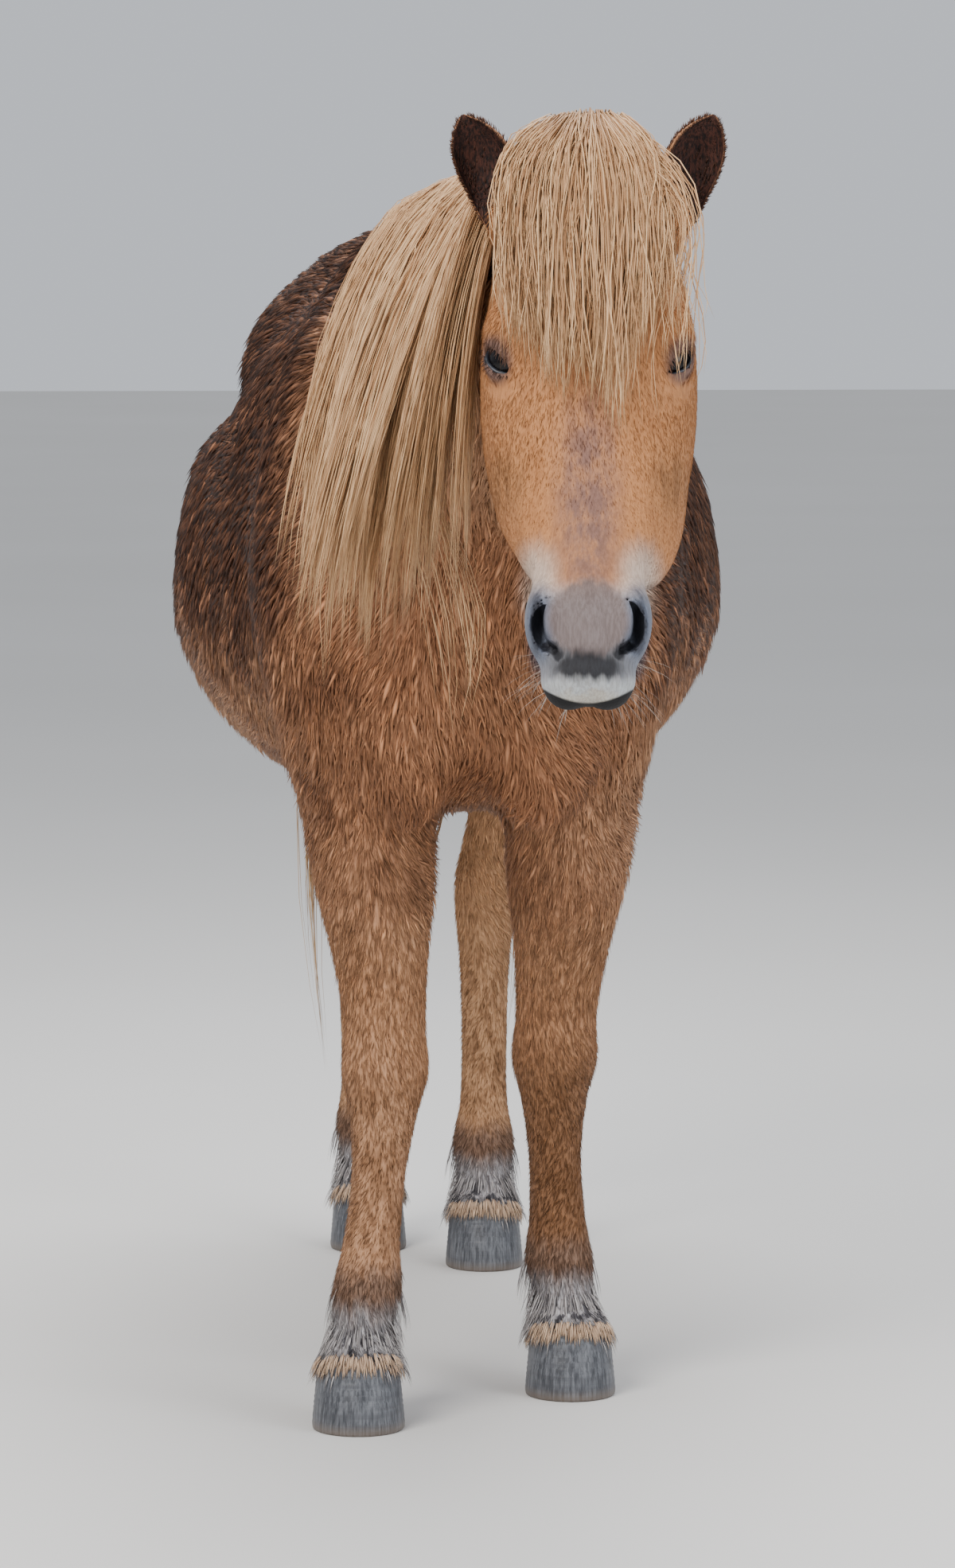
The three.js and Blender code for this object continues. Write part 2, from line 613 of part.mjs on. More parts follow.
// Neck between its two cuts
let neckShape = solid(
  surfaceOf(
    within(wholeField, [sideOf(NECK_CUT, -1, MARGIN), sideOf(HEAD_CUT, 1, MARGIN)]),
    [0, 0, 0],
    WORLD,
    [gridLines(-290, [290, 40]), gridLines(-1080, [-200, 44]), gridLines(760, [1560, 44])],
  ),
);
neckShape = keepBelow(neckShape, halfGap(NECK_CUT, 1), opposite(NECK_CUT.normal));
neckShape = keepBelow(neckShape, halfGap(HEAD_CUT, -1), HEAD_CUT.normal);

// Head with finer grid lines about the eyes and the muzzle
let headShape = solid(
  surfaceOf(
    within(wholeField, [sideOf(HEAD_CUT, -1, MARGIN)]),
    POLL,
    HEAD_FRAME,
    [
      gridLines(-160, [-25, 17], [25, 25], [160, 17]),
      gridLines(-320, [-120, 28], [70, 17]),
      gridLines(-130, [150, 26], [260, 17], [440, 26], [620, 16]),
    ],
  ),
);
headShape = keepBelow(headShape, halfGap(HEAD_CUT, 1), opposite(HEAD_CUT.normal));

// Direction in the head frame, given as side, up and along
const headWay = (side, up, along) => unit(sub(onHead(side, up, along), POLL));

// Eyes: an eyeball in its socket, seen through an almond opening between two lids
const LID_THICKNESS = 4;
const almond = (halfLength, halfHeight) =>
  new THREE.Shape(
    Array.from({ length: 16 }, (_, i) => {
      const angle = (i / 16) * 2 * Math.PI;
      const rise = Math.sign(Math.sin(angle)) * Math.abs(Math.sin(angle)) ** 1.35;
      return new THREE.Vector2(halfLength * Math.cos(angle), halfHeight * rise);
    }),
  );
for (const s of [-1, 1]) {
  const centre = onHead(s * EYE_AT.side, EYE_AT.up, EYE_AT.along);
  const look = headWay(s * EYE_LOOK[0], EYE_LOOK[1], EYE_LOOK[2]);
  const corner = headWay(s * EYE_SLANT[0], EYE_SLANT[1], EYE_SLANT[2]);
  const over = unit(cross(look, corner));
  const along = cross(over, look);
  const frame = [along, over, look];
  const opening = new THREE.ExtrudeGeometry(almond(20, 11.5), { depth: 60, bevelEnabled: false });
  opening.applyMatrix4(new THREE.Matrix4().makeBasis(...frame.map((d) => new THREE.Vector3(...d))));
  opening.translate(...centre);
  const lid = EYE_RADIUS + LID_THICKNESS;
  headShape = headShape
    .add(ball(add(centre, over, 1.5), [lid + 1, lid, lid], frame, 14, 9))
    .subtract(ball(centre, [1, 1, 1].map((r) => r * (EYE_RADIUS + CUT_GAP)), frame, 12, 8))
    .subtract(solid(opening));
  shapes[s > 0 ? "eye_left" : "eye_right"] = ball(centre, [EYE_RADIUS, EYE_RADIUS, EYE_RADIUS], frame, 12, 8);

  // Nostril: a crescent hole round the wing of the nostril
  const hole = ball(onHead(s * 47, -40, 506), [15, 30, 30]);
  const wing = ball(onHead(s * 36, -40, 500), [15.5, 60, 27]);
  headShape = headShape.subtract(hole.subtract(wing));
}

// Mouth: a thin slot round the lips as far as its corners, with solid flesh behind
const mouthUp = unit(add(headWay(0, 1, 0), headWay(0, 0, 1), 0.28));
const mouthFrame = [HEAD_SIDE, mouthUp, cross(HEAD_SIDE, mouthUp)];
const slot = ball(onHead(0, -92, 520), [90, 2.2, 62], mouthFrame, 20, 5);
const core = ball(onHead(0, -92, 500), [36, 40, 56], mouthFrame, 12, 6);
headShape = headShape.subtract(slot.subtract(core));

// Ears: a cupped leaf on a stub that sits in a socket of the head
const EAR_LENGTH = 122;
const EAR_ROOT = { side: 84, up: -70, along: 56 };
const EAR_LEAN = 0.34;
const EAR_BACK = 0.8;
const EAR_TIP_OUT = 4;
const EAR_RIM = 3.4;
const EAR_OPEN_ANGLE = 1.9;
const EAR_SOCKET_GAP = 3;
const EAR_PROFILE = [
  // [height, half width, share of the full cup]
  [-20, 19, 0],
  [4, 24, 0],
  [26, 28, 0.1],
  [42, 30, 0.85],
  [64, 32, 1],
  [88, 29, 0.9],
  [104, 21, 0.75],
  [115, 11, 0.6],
  [EAR_LENGTH, 2.5, 0.3],
];
const earSpaces = [];
for (const s of [-1, 1]) {
  const rise = unit([s * EAR_LEAN, 0.12, 1]);
  const front = [s * 0.3, -1, 0];
  const facing = unit(add(front, rise, -dot(front, rise)));
  const across = cross(rise, facing);
  const base = onHead(s * EAR_ROOT.side, EAR_ROOT.up, EAR_ROOT.along);
  const spot = (height, sideways, forward) => {
    const curl = add(add(base, rise, height), [s, 0, 0], EAR_TIP_OUT * (Math.max(height, 0) / EAR_LENGTH) ** 2);
    return add(add(curl, across, sideways), facing, forward);
  };
  const rings = EAR_PROFILE.map(([height, half, cup]) => {
    const reach = half - Math.min(EAR_RIM, half * 0.4);
    const mouth = -Math.cos(EAR_OPEN_ANGLE) * half * EAR_BACK;
    const outer = Array.from({ length: 9 }, (_, i) => {
      const angle = lerp(-EAR_OPEN_ANGLE, EAR_OPEN_ANGLE, i / 8);
      return spot(height, Math.sin(angle) * half, -Math.cos(angle) * half * EAR_BACK);
    });
    const inner = Array.from({ length: 6 }, (_, i) => {
      const angle = lerp(EAR_OPEN_ANGLE - 0.15, 0.15 - EAR_OPEN_ANGLE, i / 5);
      return spot(height, Math.sin(angle) * reach, lerp(mouth, -Math.cos(angle) * reach * EAR_BACK, cup));
    });
    return [...outer, ...inner];
  });
  shapes[s > 0 ? "ear_left" : "ear_right"] = ringSolid(rings);
  const space = [-22, 4, 30, 64, 96, EAR_LENGTH + 6].map((height) => {
    const half = stationAt(EAR_PROFILE, height)[1] + EAR_SOCKET_GAP;
    return Array.from({ length: 12 }, (_, j) => {
      const angle = (j / 12) * 2 * Math.PI;
      return spot(height, Math.sin(angle) * half, -Math.cos(angle) * half * EAR_BACK);
    });
  });
  earSpaces.push(ringSolid(space));
}

// Tail: the dock, leaving the torso through its cut
let dockShape = solid(
  surfaceOf(
    within(wholeField, [
      (p) => DOCK_CUT_Y - MARGIN - p[1],
      (p) => Math.hypot(p[0], p[1] - DOCK_CUT_Y, p[2] - 1256) - 92,
    ]),
    [0, 0, 0],
    WORLD,
    [gridLines(-110, [110, 16]), gridLines(720, [940, 16]), gridLines(1140, [1360, 16])],
  ),
);
dockShape = keepBelow(dockShape, [0, DOCK_CUT_Y + CUT_GAP, 0], [0, -1, 0]);
const tailRings = DOCK.slice(2).map(([x, y, z, r]) =>
  Array.from({ length: 10 }, (_, i) => {
    const angle = (i / 10) * 2 * Math.PI;
    return [x + Math.cos(angle) * r, y + Math.sin(angle) * r, z];
  }),
);
const tailShape = dockShape.add(ringSolid(tailRings));

// Locks keep off the ears as well as off the body
const earKeepOut = bothSides((s) => {
  const base = onHead(s * EAR_ROOT.side, EAR_ROOT.up, EAR_ROOT.along);
  const rise = unit([s * EAR_LEAN, 0.12, 1]);
  return (p) => {
    const d = sub(p, base);
    const t = clamp(dot(d, rise), 0, EAR_LENGTH);
    return Math.hypot(...sub(d, add([0, 0, 0], rise, t))) - 40;
  };
});
const underHair = (p) => Math.min(wholeField(p), ...earKeepOut.map((ear) => ear(p)));
function ontoSurface(p) {
  let q = p;
  for (let round = 0; round < 3; round += 1) q = add(q, gradient(wholeField, q), -wholeField(q));
  return q;
}

// Mane: rooted along the crest from the poll to the withers, falling on the right side
const MANE_LOCKS = 17;
const MANE_LENGTH = 590;
const MANE_WIDTH = 70;
const CREST_END = 95;
const CREST_START = NECK_LENGTH - 30;
const crestAt = (place) => {
  const [, sideOffset, , , above] = stationAt(NECK_ROWS, place);
  return ontoSurface(add(add(add(NECK_BASE, NECK_AXIS, place), NECK_UP, above), [1, 0, 0], sideOffset));
};
const maneLocks = [];
for (let i = 0; i < MANE_LOCKS; i += 1) {
  const share = i / (MANE_LOCKS - 1);
  const layer = i % 3;
  const drift = lerp(-0.04, -0.42, share) + (random() - 0.5) * 0.14;
  const spread = (0.5 + layer * 0.15 + random() * 0.15) * lerp(1.1, 0.4, share);
  const root = crestAt(lerp(CREST_START, CREST_END, share));
  maneLocks.push(
    lock({
      root,
      heading: [-1, -0.1, 0.35 + layer * 0.25],
      length: MANE_LENGTH * (share > 0.6 ? lerp(1.05, 0.68, (share - 0.6) / 0.4) : lerp(0.84, 1.05, share / 0.6)) * vary(0.1),
      width: MANE_WIDTH * vary(0.25),
      thick: 7,
      clear: 10 + layer * 10,
      field: underHair,
      steps: 6,
      course: (way) => [-spread * (1 - way) ** 2, drift + 0.12 * Math.sin(way * 6 + i), -1],
    }),
  );
}
for (let i = 0; i < 2; i += 1) {
  maneLocks.push(
    lock({
      root: ontoSurface(add(crestAt(CREST_START - i * 22), [1, 0, 0], 26)),
      heading: [1, 0, 0.2],
      length: 270 * vary(0.2),
      width: 24,
      thick: 7,
      clear: 13,
      field: underHair,
      steps: 5,
      course: () => [0.25, 0.1, -1],
    }),
  );
}
shapes.neck = union([neckShape, ...maneLocks]);

// Forelock: rises over the poll between the ears and fans down over the forehead
const FORELOCK_LOCKS = 12;
const FORELOCK_LENGTH = 325;
const forelockLocks = [];
for (let i = 0; i < FORELOCK_LOCKS; i += 1) {
  const layer = i % 3;
  const place = ((i * 5) % FORELOCK_LOCKS) / (FORELOCK_LOCKS - 1) * 2 - 1;
  const fan = place * 0.62 + (random() - 0.5) * 0.12;
  const swell = 1.5 + layer * 0.6;
  forelockLocks.push(
    lock({
      root: ontoSurface(onHead(place * 32, -4, 4 + layer * 13)),
      heading: headWay(place * 0.5, swell, 0.1),
      length: FORELOCK_LENGTH * (1 - 0.36 * Math.abs(place)) * vary(0.12),
      width: 44 * vary(0.25),
      thick: 6.5,
      clear: 9 + layer * 9,
      field: underHair,
      steps: 5,
      course: (way) => headWay(fan * (1.1 - way), Math.max(swell * (1 - way * 5), 0), 1),
    }),
  );
}
shapes.head = union([headShape, ...forelockLocks]).subtract(union(earSpaces));

// Tail hair: laid round the core of the tail from the dock down, its tips above the ground
const TAIL_LOCKS = 12;
const TAIL_TIP_Z = 150;
const tailLocks = [];
for (let i = 0; i < TAIL_LOCKS; i += 1) {
  const layer = i % 2;
  const angle = ((i * 5) % TAIL_LOCKS) / TAIL_LOCKS * 2 * Math.PI;
  const height = lerp(1190, 700, i / (TAIL_LOCKS - 1));
  const way = [Math.cos(angle), Math.sin(angle) * 0.7 + 0.3, 0.1];
  const centre = dockAt(height);
  const root = ontoSurface(add(centre, unit(way), 30));
  const reach = Math.min(root[2] - TAIL_TIP_Z * vary(0.5), 620 * vary(0.15));
  tailLocks.push(
    lock({
      root,
      heading: add(way, [0, 0, -1], 0.8),
      length: reach,
      width: 64 * vary(0.25),
      thick: 9,
      clear: 13 + layer * 13,
      field: wholeField,
      steps: 5,
      sink: 16,
      course: (share) => [way[0] * 0.16 * (1 - share), 0.05 + 0.08 * Math.sin(share * 4 + i), -1],
    }),
  );
}
shapes.tail = union([tailShape, ...tailLocks]);

// Fetlock hair: short locks behind each pastern, clear of the hoof
const FETLOCK_LOCKS = 5;
for (const [name, one] of Object.entries(LEGS)) {
  const locks = [];
  for (let i = 0; i < FETLOCK_LOCKS; i += 1) {
    const angle = lerp(-0.8, 0.8, i / (FETLOCK_LOCKS - 1));
    const height = 150 - Math.abs(angle) * 14 + random() * 10;
    const [, x, y] = stationAt(one.joints, height);
    const back = [Math.sin(angle), Math.cos(angle), 0];
    locks.push(
      lock({
        root: ontoSurface([x + back[0] * 42, y + back[1] * 48, height]),
        heading: [back[0] * 0.5, back[1] * 0.6, -1],
        length: 66 * vary(0.15),
        width: 24 * vary(0.15),
        thick: 8,
        clear: 10,
        field: wholeField,
        steps: 3,
        sink: 12,
        course: () => [0, 0.18, -1],
      }),
    );
  }
  shapes[name] = union([shapes[name], ...locks]);
}

// Nodes, with the origin under the middle of the bounding box
const SLOTS = {
  coat: { color: 0xa9703f, roughness: 0.9 },
  tail_hair: { color: 0xc9a878, roughness: 0.85 },
  ear_coat: { color: 0x5a3a26, roughness: 0.9 },
  hoof: { color: 0x56616b, roughness: 0.6 },
  eye: { color: 0x15110f, roughness: 0.15 },
};
const slotOf = (name) => {
  if (name.startsWith("hoof")) return "hoof";
  if (name.startsWith("eye")) return "eye";
  if (name.startsWith("ear")) return "ear_coat";
  return name === "tail" ? "tail_hair" : "coat";
};
const materials = Object.fromEntries(
  Object.entries(SLOTS).map(([name, look]) => [name, new THREE.MeshStandardMaterial({ name, metalness: 0, ...look })]),
);
const bounds = new THREE.Box3();
for (const shape of Object.values(shapes)) {
  const { min, max } = shape.boundingBox();
  bounds.union(new THREE.Box3(new THREE.Vector3(...min), new THREE.Vector3(...max)));
}
const middle = bounds.getCenter(new THREE.Vector3());
const root = new THREE.Group();
root.name = "icelandic_horse";
for (const [name, shape] of Object.entries(shapes)) {
  const placed = shape.translate([-middle.x, -middle.y, -bounds.min.z]);
  const mesh = new THREE.Mesh(geometryOf(placed), materials[slotOf(name)]);
  mesh.name = name;
  root.add(mesh);
}
export default root;
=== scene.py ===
import math

import bpy
import numpy as np
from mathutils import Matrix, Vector


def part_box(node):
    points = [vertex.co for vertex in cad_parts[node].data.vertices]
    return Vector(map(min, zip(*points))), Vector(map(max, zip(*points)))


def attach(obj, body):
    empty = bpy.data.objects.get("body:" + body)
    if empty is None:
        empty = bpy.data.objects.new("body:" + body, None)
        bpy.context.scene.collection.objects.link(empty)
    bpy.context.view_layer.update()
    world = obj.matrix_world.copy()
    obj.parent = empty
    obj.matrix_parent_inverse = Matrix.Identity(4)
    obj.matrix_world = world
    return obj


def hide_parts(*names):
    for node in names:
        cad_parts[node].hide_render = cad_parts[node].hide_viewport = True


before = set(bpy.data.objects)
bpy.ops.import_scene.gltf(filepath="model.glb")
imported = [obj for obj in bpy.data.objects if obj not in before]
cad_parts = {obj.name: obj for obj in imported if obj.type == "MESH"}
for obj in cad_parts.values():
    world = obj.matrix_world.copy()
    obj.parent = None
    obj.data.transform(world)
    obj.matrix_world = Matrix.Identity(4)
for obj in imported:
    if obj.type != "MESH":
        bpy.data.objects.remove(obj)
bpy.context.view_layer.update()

# A standing Icelandic horse in its winter coat. Shapes are worked out in the horse's own
# frame in millimetres: it faces -Y, its left side is +X and +Z is up.
RNG = np.random.default_rng(20231)
# The middle of the right fore hoof ties the horse's frame to the scene's
HOOF_MIDDLE = (-129, -494)
hoof_low, hoof_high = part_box("hoof_fore_right")
SHIFT = np.array([(hoof_low[i] + hoof_high[i]) / 2 - HOOF_MIDDLE[i] / 1000 for i in (0, 1)] + [0.0])


def in_scene(p):
    """Points of the horse's frame, in millimetres, as points of the scene in metres."""
    return np.asarray(p, float) / 1000 + SHIFT


# Camera at the photograph's place
CAMERA_AT = (-337, -7790, 1467)
CAMERA_YAW = math.radians(2.7)
CAMERA_PITCH = math.radians(5.7)
FOCAL_LENGTH = 148.9
lens = bpy.data.cameras.new("camera")
lens.sensor_width = 36
lens.lens = FOCAL_LENGTH
lens.clip_end = 100
camera = bpy.data.objects.new("camera", lens)
bpy.context.scene.collection.objects.link(camera)
camera.location = in_scene(CAMERA_AT)
level = math.cos(CAMERA_PITCH)
look = Vector((math.sin(CAMERA_YAW) * level, math.cos(CAMERA_YAW) * level, -math.sin(CAMERA_PITCH)))
camera.rotation_euler = look.to_track_quat("-Z", "Y").to_euler()
bpy.context.scene.camera = camera


# Vectors
def unit(v):
    v = np.asarray(v, float)
    return v / np.maximum(np.linalg.norm(v, axis=-1, keepdims=True), 1e-9)


def smooth(x, low, high):
    t = np.clip((x - low) / (high - low), 0, 1)
    return t * t * (3 - 2 * t)

def vectors(x, y, z):
    """Rows of vectors from three numbers or arrays."""
    return np.stack(np.broadcast_arrays(x, y, z), -1).astype(float)


def rows_at(rows, place):
    """Rows of a station table at some places, on a smooth curve through them."""
    rows = np.asarray(rows, float)
    t = np.clip(place, rows[0, 0], rows[-1, 0])
    i = np.clip(np.searchsorted(rows[:, 0], t) - 1, 0, len(rows) - 2)
    before, start = rows[np.maximum(i - 1, 0)], rows[i]
    end, after = rows[i + 1], rows[np.minimum(i + 2, len(rows) - 1)]
    span = end[:, :1] - start[:, :1]
    s = (t[:, None] - start[:, :1]) / span
    slope_in = (end - before) / (end[:, :1] - before[:, :1]) * span
    slope_out = (after - start) / (after[:, :1] - start[:, :1]) * span
    rise = end - start
    second = 3 * rise - 2 * slope_in - slope_out
    third = slope_in + slope_out - 2 * rise
    return start + s * (slope_in + s * (second + s * third))


# Signed distances, in the same named shapes as the solids
FAR = 1e4


def ellipse_distance(parts, radii):
    scaled = [d / r for d, r in zip(parts, radii)]
    q = np.sqrt(sum(s * s for s in scaled))
    slope = np.sqrt(sum((s / r) ** 2 for s, r in zip(scaled, radii)))
    return np.where(q < 1e-6, -FAR, (q - 1) * q / np.maximum(slope, 1e-9))


def loft(origin, axis, side, up, rows, ends):
    low, high = rows[0][0], rows[-1][0]
    table = rows_at(rows, np.linspace(low, high, 257))[:, 1:]

    def field(p):
        d = p - np.asarray(origin, float)
        place = d @ np.asarray(axis, float)
        at = np.clip((place - low) / (high - low), 0, 1) * 256
        i = np.minimum(at.astype(int), 255)
        f = (at - i)[:, None]
        side_off, up_off, half, above, below = ((1 - f) * table[i] + f * table[i + 1]).T
        a = d @ np.asarray(side, float) - side_off
        b = d @ np.asarray(up, float) - up_off
        past = np.where(place < low, low - place, np.maximum(place - high, 0))
        end = np.where(place < low, ends[0], ends[1])
        return ellipse_distance((a, b, past), (half, np.where(b > 0, above, below), end))

    return field


def ellipsoid(centre, radii, axes=np.eye(3)):
    return lambda p: ellipse_distance(tuple(((p - np.asarray(centre, float)) @ axes.T).T), radii)


def blend(a, b, k):
    return np.minimum(a, b) - np.maximum(k - np.abs(a - b), 0) ** 2 / (4 * k)


def only(field, near):
    """A field that is worked out only where near holds, and is far away elsewhere."""

    def made(p):
        mask = near(p)
        out = np.full(len(p), FAR)
        if mask.any():
            out[mask] = field(p[mask])
        return out

    return made


# Each row of a loft: place, shifts aside and up, half width, reach up and reach down
torso = loft(
    (0, 0, 0),
    (0, 1, 0),
    (1, 0, 0),
    (0, 0, 1),
    [
        [-520, 0, 945, 158, 215, 175],
        [-440, 0, 955, 212, 345, 248],
        [-350, 0, 955, 240, 420, 265],
        [-250, 0, 950, 264, 440, 272],
        [-100, 0, 930, 302, 424, 266],
        [50, 0, 915, 332, 405, 268],
        [200, 0, 905, 342, 411, 265],
        [350, 0, 925, 332, 412, 272],
        [480, 0, 970, 290, 394, 265],
        [600, 0, 1040, 255, 330, 270],
        [690, 0, 1060, 228, 290, 240],
        [746, 0, 1055, 180, 225, 205],
    ],
    (70, 60),
)
# Masses on both sides of the trunk: middle, radii and how softly they join
BODY_MASSES = [
    ((150, -410, 985), (92, 150, 270), 70),
    ((150, 600, 980), (112, 190, 250), 70),
    ((78, -500, 835), (82, 88, 150), 50),
    ((178, 470, 840), (70, 110, 120), 50),
]
MASSES = [
    (ellipsoid((s * x, y, z), radii), soft) for (x, y, z), radii, soft in BODY_MASSES for s in (-1, 1)
]
# Height up a leg, half width, reach to the front and reach to the back
FORE_GIRTHS = [
    [58, 51, 50, 50],
    [80, 47, 46, 47],
    [112, 37, 36, 40],
    [155, 43, 41, 52],
    [205, 37, 35, 45],
    [280, 35, 35, 42],
    [350, 43, 42, 46],
    [400, 54, 51, 51],
    [455, 52, 50, 54],
    [530, 60, 58, 66],
    [620, 76, 78, 90],
    [720, 86, 100, 112],
    [800, 90, 125, 130],
    [900, 84, 135, 130],
]
HIND_GIRTHS = [
    [58, 49, 48, 49],
    [80, 45, 44, 46],
    [112, 36, 35, 40],
    [155, 43, 41, 53],
    [210, 35, 34, 46],
    [300, 34, 34, 46],
    [400, 38, 38, 52],
    [450, 44, 44, 56],
    [500, 47, 51, 62],
    [545, 43, 50, 72],
    [600, 45, 52, 62],
    [680, 62, 80, 76],
    [780, 84, 125, 112],
    [880, 100, 165, 150],
    [970, 104, 175, 170],
]
# Middle line of each leg from the hoof up: height, x and y
JOINTS = {
    "fore_right": [
        [30, -131, -497], [70, -129, -488], [155, -118, -462], [400, -96, -428],
        [620, -107, -392], [800, -122, -372], [900, -122, -385],
    ],
    "fore_left": [
        [30, 128, -305], [70, 125, -296], [155, 114, -268], [400, 105, -318],
        [620, 117, -362], [800, 124, -372], [900, 122, -385],
    ],
    "hind_left": [
        [30, 66, 567], [70, 66, 577], [155, 67, 612], [300, 70, 650],
        [500, 76, 692], [640, 100, 668], [780, 128, 620], [970, 140, 600],
    ],
    "hind_right": [
        [30, -80, 712], [70, -81, 722], [155, -83, 758], [300, -86, 772],
        [500, -92, 784], [640, -106, 720], [780, -128, 640], [970, -140, 600],
    ],
}
# Middle of each coronet, whose plane leans with the hoof
CORONETS = {name: np.array(rows[1][1:] + rows[1][:1], float) for name, rows in JOINTS.items()}
HOOF_TILT = 0.26
CORONET_NORMAL = unit((0, HOOF_TILT, 1))


def leg(name):
    girths = np.array(FORE_GIRTHS if name.startswith("fore") else HIND_GIRTHS, float)
    middle = rows_at(JOINTS[name], girths[:, 0])
    rows = np.column_stack([girths[:, 0], middle[:, 1], -middle[:, 2], girths[:, 1:]])
    field = loft((0, 0, 0), (0, 0, 1), (1, 0, 0), (0, -1, 0), rows.tolist(), (30, 130))
    if name.startswith("fore"):
        return only(field, lambda p: (p[:, 1] < -100) & (p[:, 2] < 1150))
    return only(field, lambda p: (p[:, 1] > 350) & (p[:, 2] < 1250))


LEGS = {name: leg(name) for name in JOINTS}

NECK_BASE = np.array([0.0, -380, 1150])
NECK_TOP = np.array([92.0, -960, 1330])
NECK_AXIS = unit((0, NECK_TOP[1] - NECK_BASE[1], NECK_TOP[2] - NECK_BASE[2]))
NECK_UP = -np.cross((1, 0, 0), NECK_AXIS)
NECK_LENGTH = (NECK_TOP - NECK_BASE) @ NECK_AXIS
NECK_ROWS = [
    [0, 0, 0, 168, 225, 260],
    [120, 8, 0, 148, 222, 238],
    [240, 24, 0, 126, 208, 196],
    [360, 46, 0, 106, 186, 156],
    [480, 70, 0, 90, 160, 128],
    [NECK_LENGTH, NECK_TOP[0], 0, 80, 124, 118],
]
neck = loft(NECK_BASE, NECK_AXIS, (1, 0, 0), NECK_UP, NECK_ROWS, (120, 60))

# Head frame: towards the horse's left, up out of the face, and along the face to the lips
POLL = np.array([98.0, -1030, 1454])
PITCH, TURN = math.radians(67), math.radians(3.7)
HEADING = np.array([-math.sin(TURN), -math.cos(TURN), 0])
SIDE = np.cross((0, 0, 1), HEADING)
ALONG = math.cos(PITCH) * HEADING - math.sin(PITCH) * np.array([0, 0, 1])
UP = np.cross(ALONG, SIDE)
HEAD_AXES = np.array([SIDE, UP, ALONG])


def head_way(side, up, along):
    return unit(vectors(side, up, along) @ HEAD_AXES)


def on_head(side, up, along):
    return POLL + vectors(side, up, along) @ HEAD_AXES


def head_coordinates(p):
    return ((p - POLL) @ HEAD_AXES.T).T


skull = loft(
    POLL,
    ALONG,
    SIDE,
    UP,
    [
        [-10, 0, -70, 70, 64, 80],
        [50, 0, -66, 84, 74, 112],
        [120, 0, -68, 97, 80, 148],
        [190, 0, -74, 102, 84, 160],
        [250, 0, -76, 98, 80, 152],
        [310, 0, -72, 91, 70, 132],
        [370, 0, -66, 80, 58, 104],
        [430, 0, -60, 66, 49, 80],
        [480, 0, -60, 56, 50, 62],
        [525, 0, -64, 55, 46, 52],
        [556, 0, -70, 46, 32, 42],
    ],
    (50, 22),
)
# Masses of the head: side, up, along, radii and how softly they join
PAIRED_MASSES = [
    (74, -132, 232, (40, 84, 150), 40),
    (88, -38, 196, (25, 28, 42), 22),
    (80, -66, 54, (30, 34, 36), 18),
    (43, -48, 500, (24, 36, 40), 16),
]
SINGLE_MASSES = [
    (60, -118, 380, (34, 50, 62), 36),
    (-44, -116, 376, (34, 48, 60), 36),
    (20, -74, 563, (26, 30, 25), 8),
    (-20, -74, 563, (26, 30, 25), 8),
    (0, -114, 536, (36, 25, 37), 14),
    (0, -66, 556, (45, 34, 24), 14),
]
HEAD_MASSES = [(s * row[0], *row[1:]) for row in PAIRED_MASSES for s in (-1, 1)] + SINGLE_MASSES
head_parts = [
    (ellipsoid(on_head(side, up, along), radii, HEAD_AXES), soft)
    for side, up, along, radii, soft in HEAD_MASSES
]


def head_field(p):
    f = skull(p)
    for part, k in head_parts:
        f = blend(f, part(p), k)
    return f

# Middle line of the dock from its root down: x, y, height and radius
DOCK = np.array(
    [
        [0, 770, 1262, 46],
        [0, 835, 1256, 42],
        [0, 884, 1205, 38],
        [0, 904, 1120, 36],
        [0, 912, 1000, 34],
        [0, 914, 900, 26],
    ],
    float,
)


def dock_field(p):
    f = np.full(len(p), FAR)
    for start, end in zip(DOCK[:-1], DOCK[1:]):
        reach = end[:3] - start[:3]
        t = np.clip((p - start[:3]) @ reach / (reach @ reach), 0, 1)
        away = np.linalg.norm(p - (start[:3] + t[:, None] * reach), axis=1)
        f = blend(f, away - (start[3] + (end[3] - start[3]) * t), 14)
    return f


near_torso = only(torso, lambda p: p[:, 1] > -860)
near_neck = only(neck, lambda p: p[:, 1] < 60)
near_head = only(head_field, lambda p: p[:, 1] < -780)
near_dock = only(dock_field, lambda p: p[:, 1] > 640)


def body_field(p):
    """Outer surface of the whole coat, without mane, tail and ears."""
    p = np.asarray(p, float)
    f = near_torso(p)
    for part, k in MASSES:
        f = blend(f, only(part, lambda q: q[:, 1] > -800)(p), k)
    f = blend(f, near_neck(p), 90)
    f = blend(f, near_dock(p), 34)
    legs = np.full(len(p), FAR)
    for one in LEGS.values():
        legs = np.minimum(legs, one(p))
    return blend(blend(f, legs, 46), near_head(p), 34)


def gradient(field, p, step=0.6):
    return unit(
        np.column_stack([field(p + step * axis) - field(p - step * axis) for axis in np.eye(3)])
    )


def onto(field, p, rounds=3, share=1.0):
    """Points moved along the field's slope to its surface."""
    for _ in range(rounds):
        p = p - gradient(field, p) * (field(p) * share)[:, None]
    return p


# The line between head and neck, as the solids have it
HEAD_CUT = on_head(0, -92, 0)
HEAD_CUT_NORMAL = unit(UP + 0.72 * ALONG)


def head_share(p):
    return smooth((p - HEAD_CUT) @ HEAD_CUT_NORMAL, -30, 70)


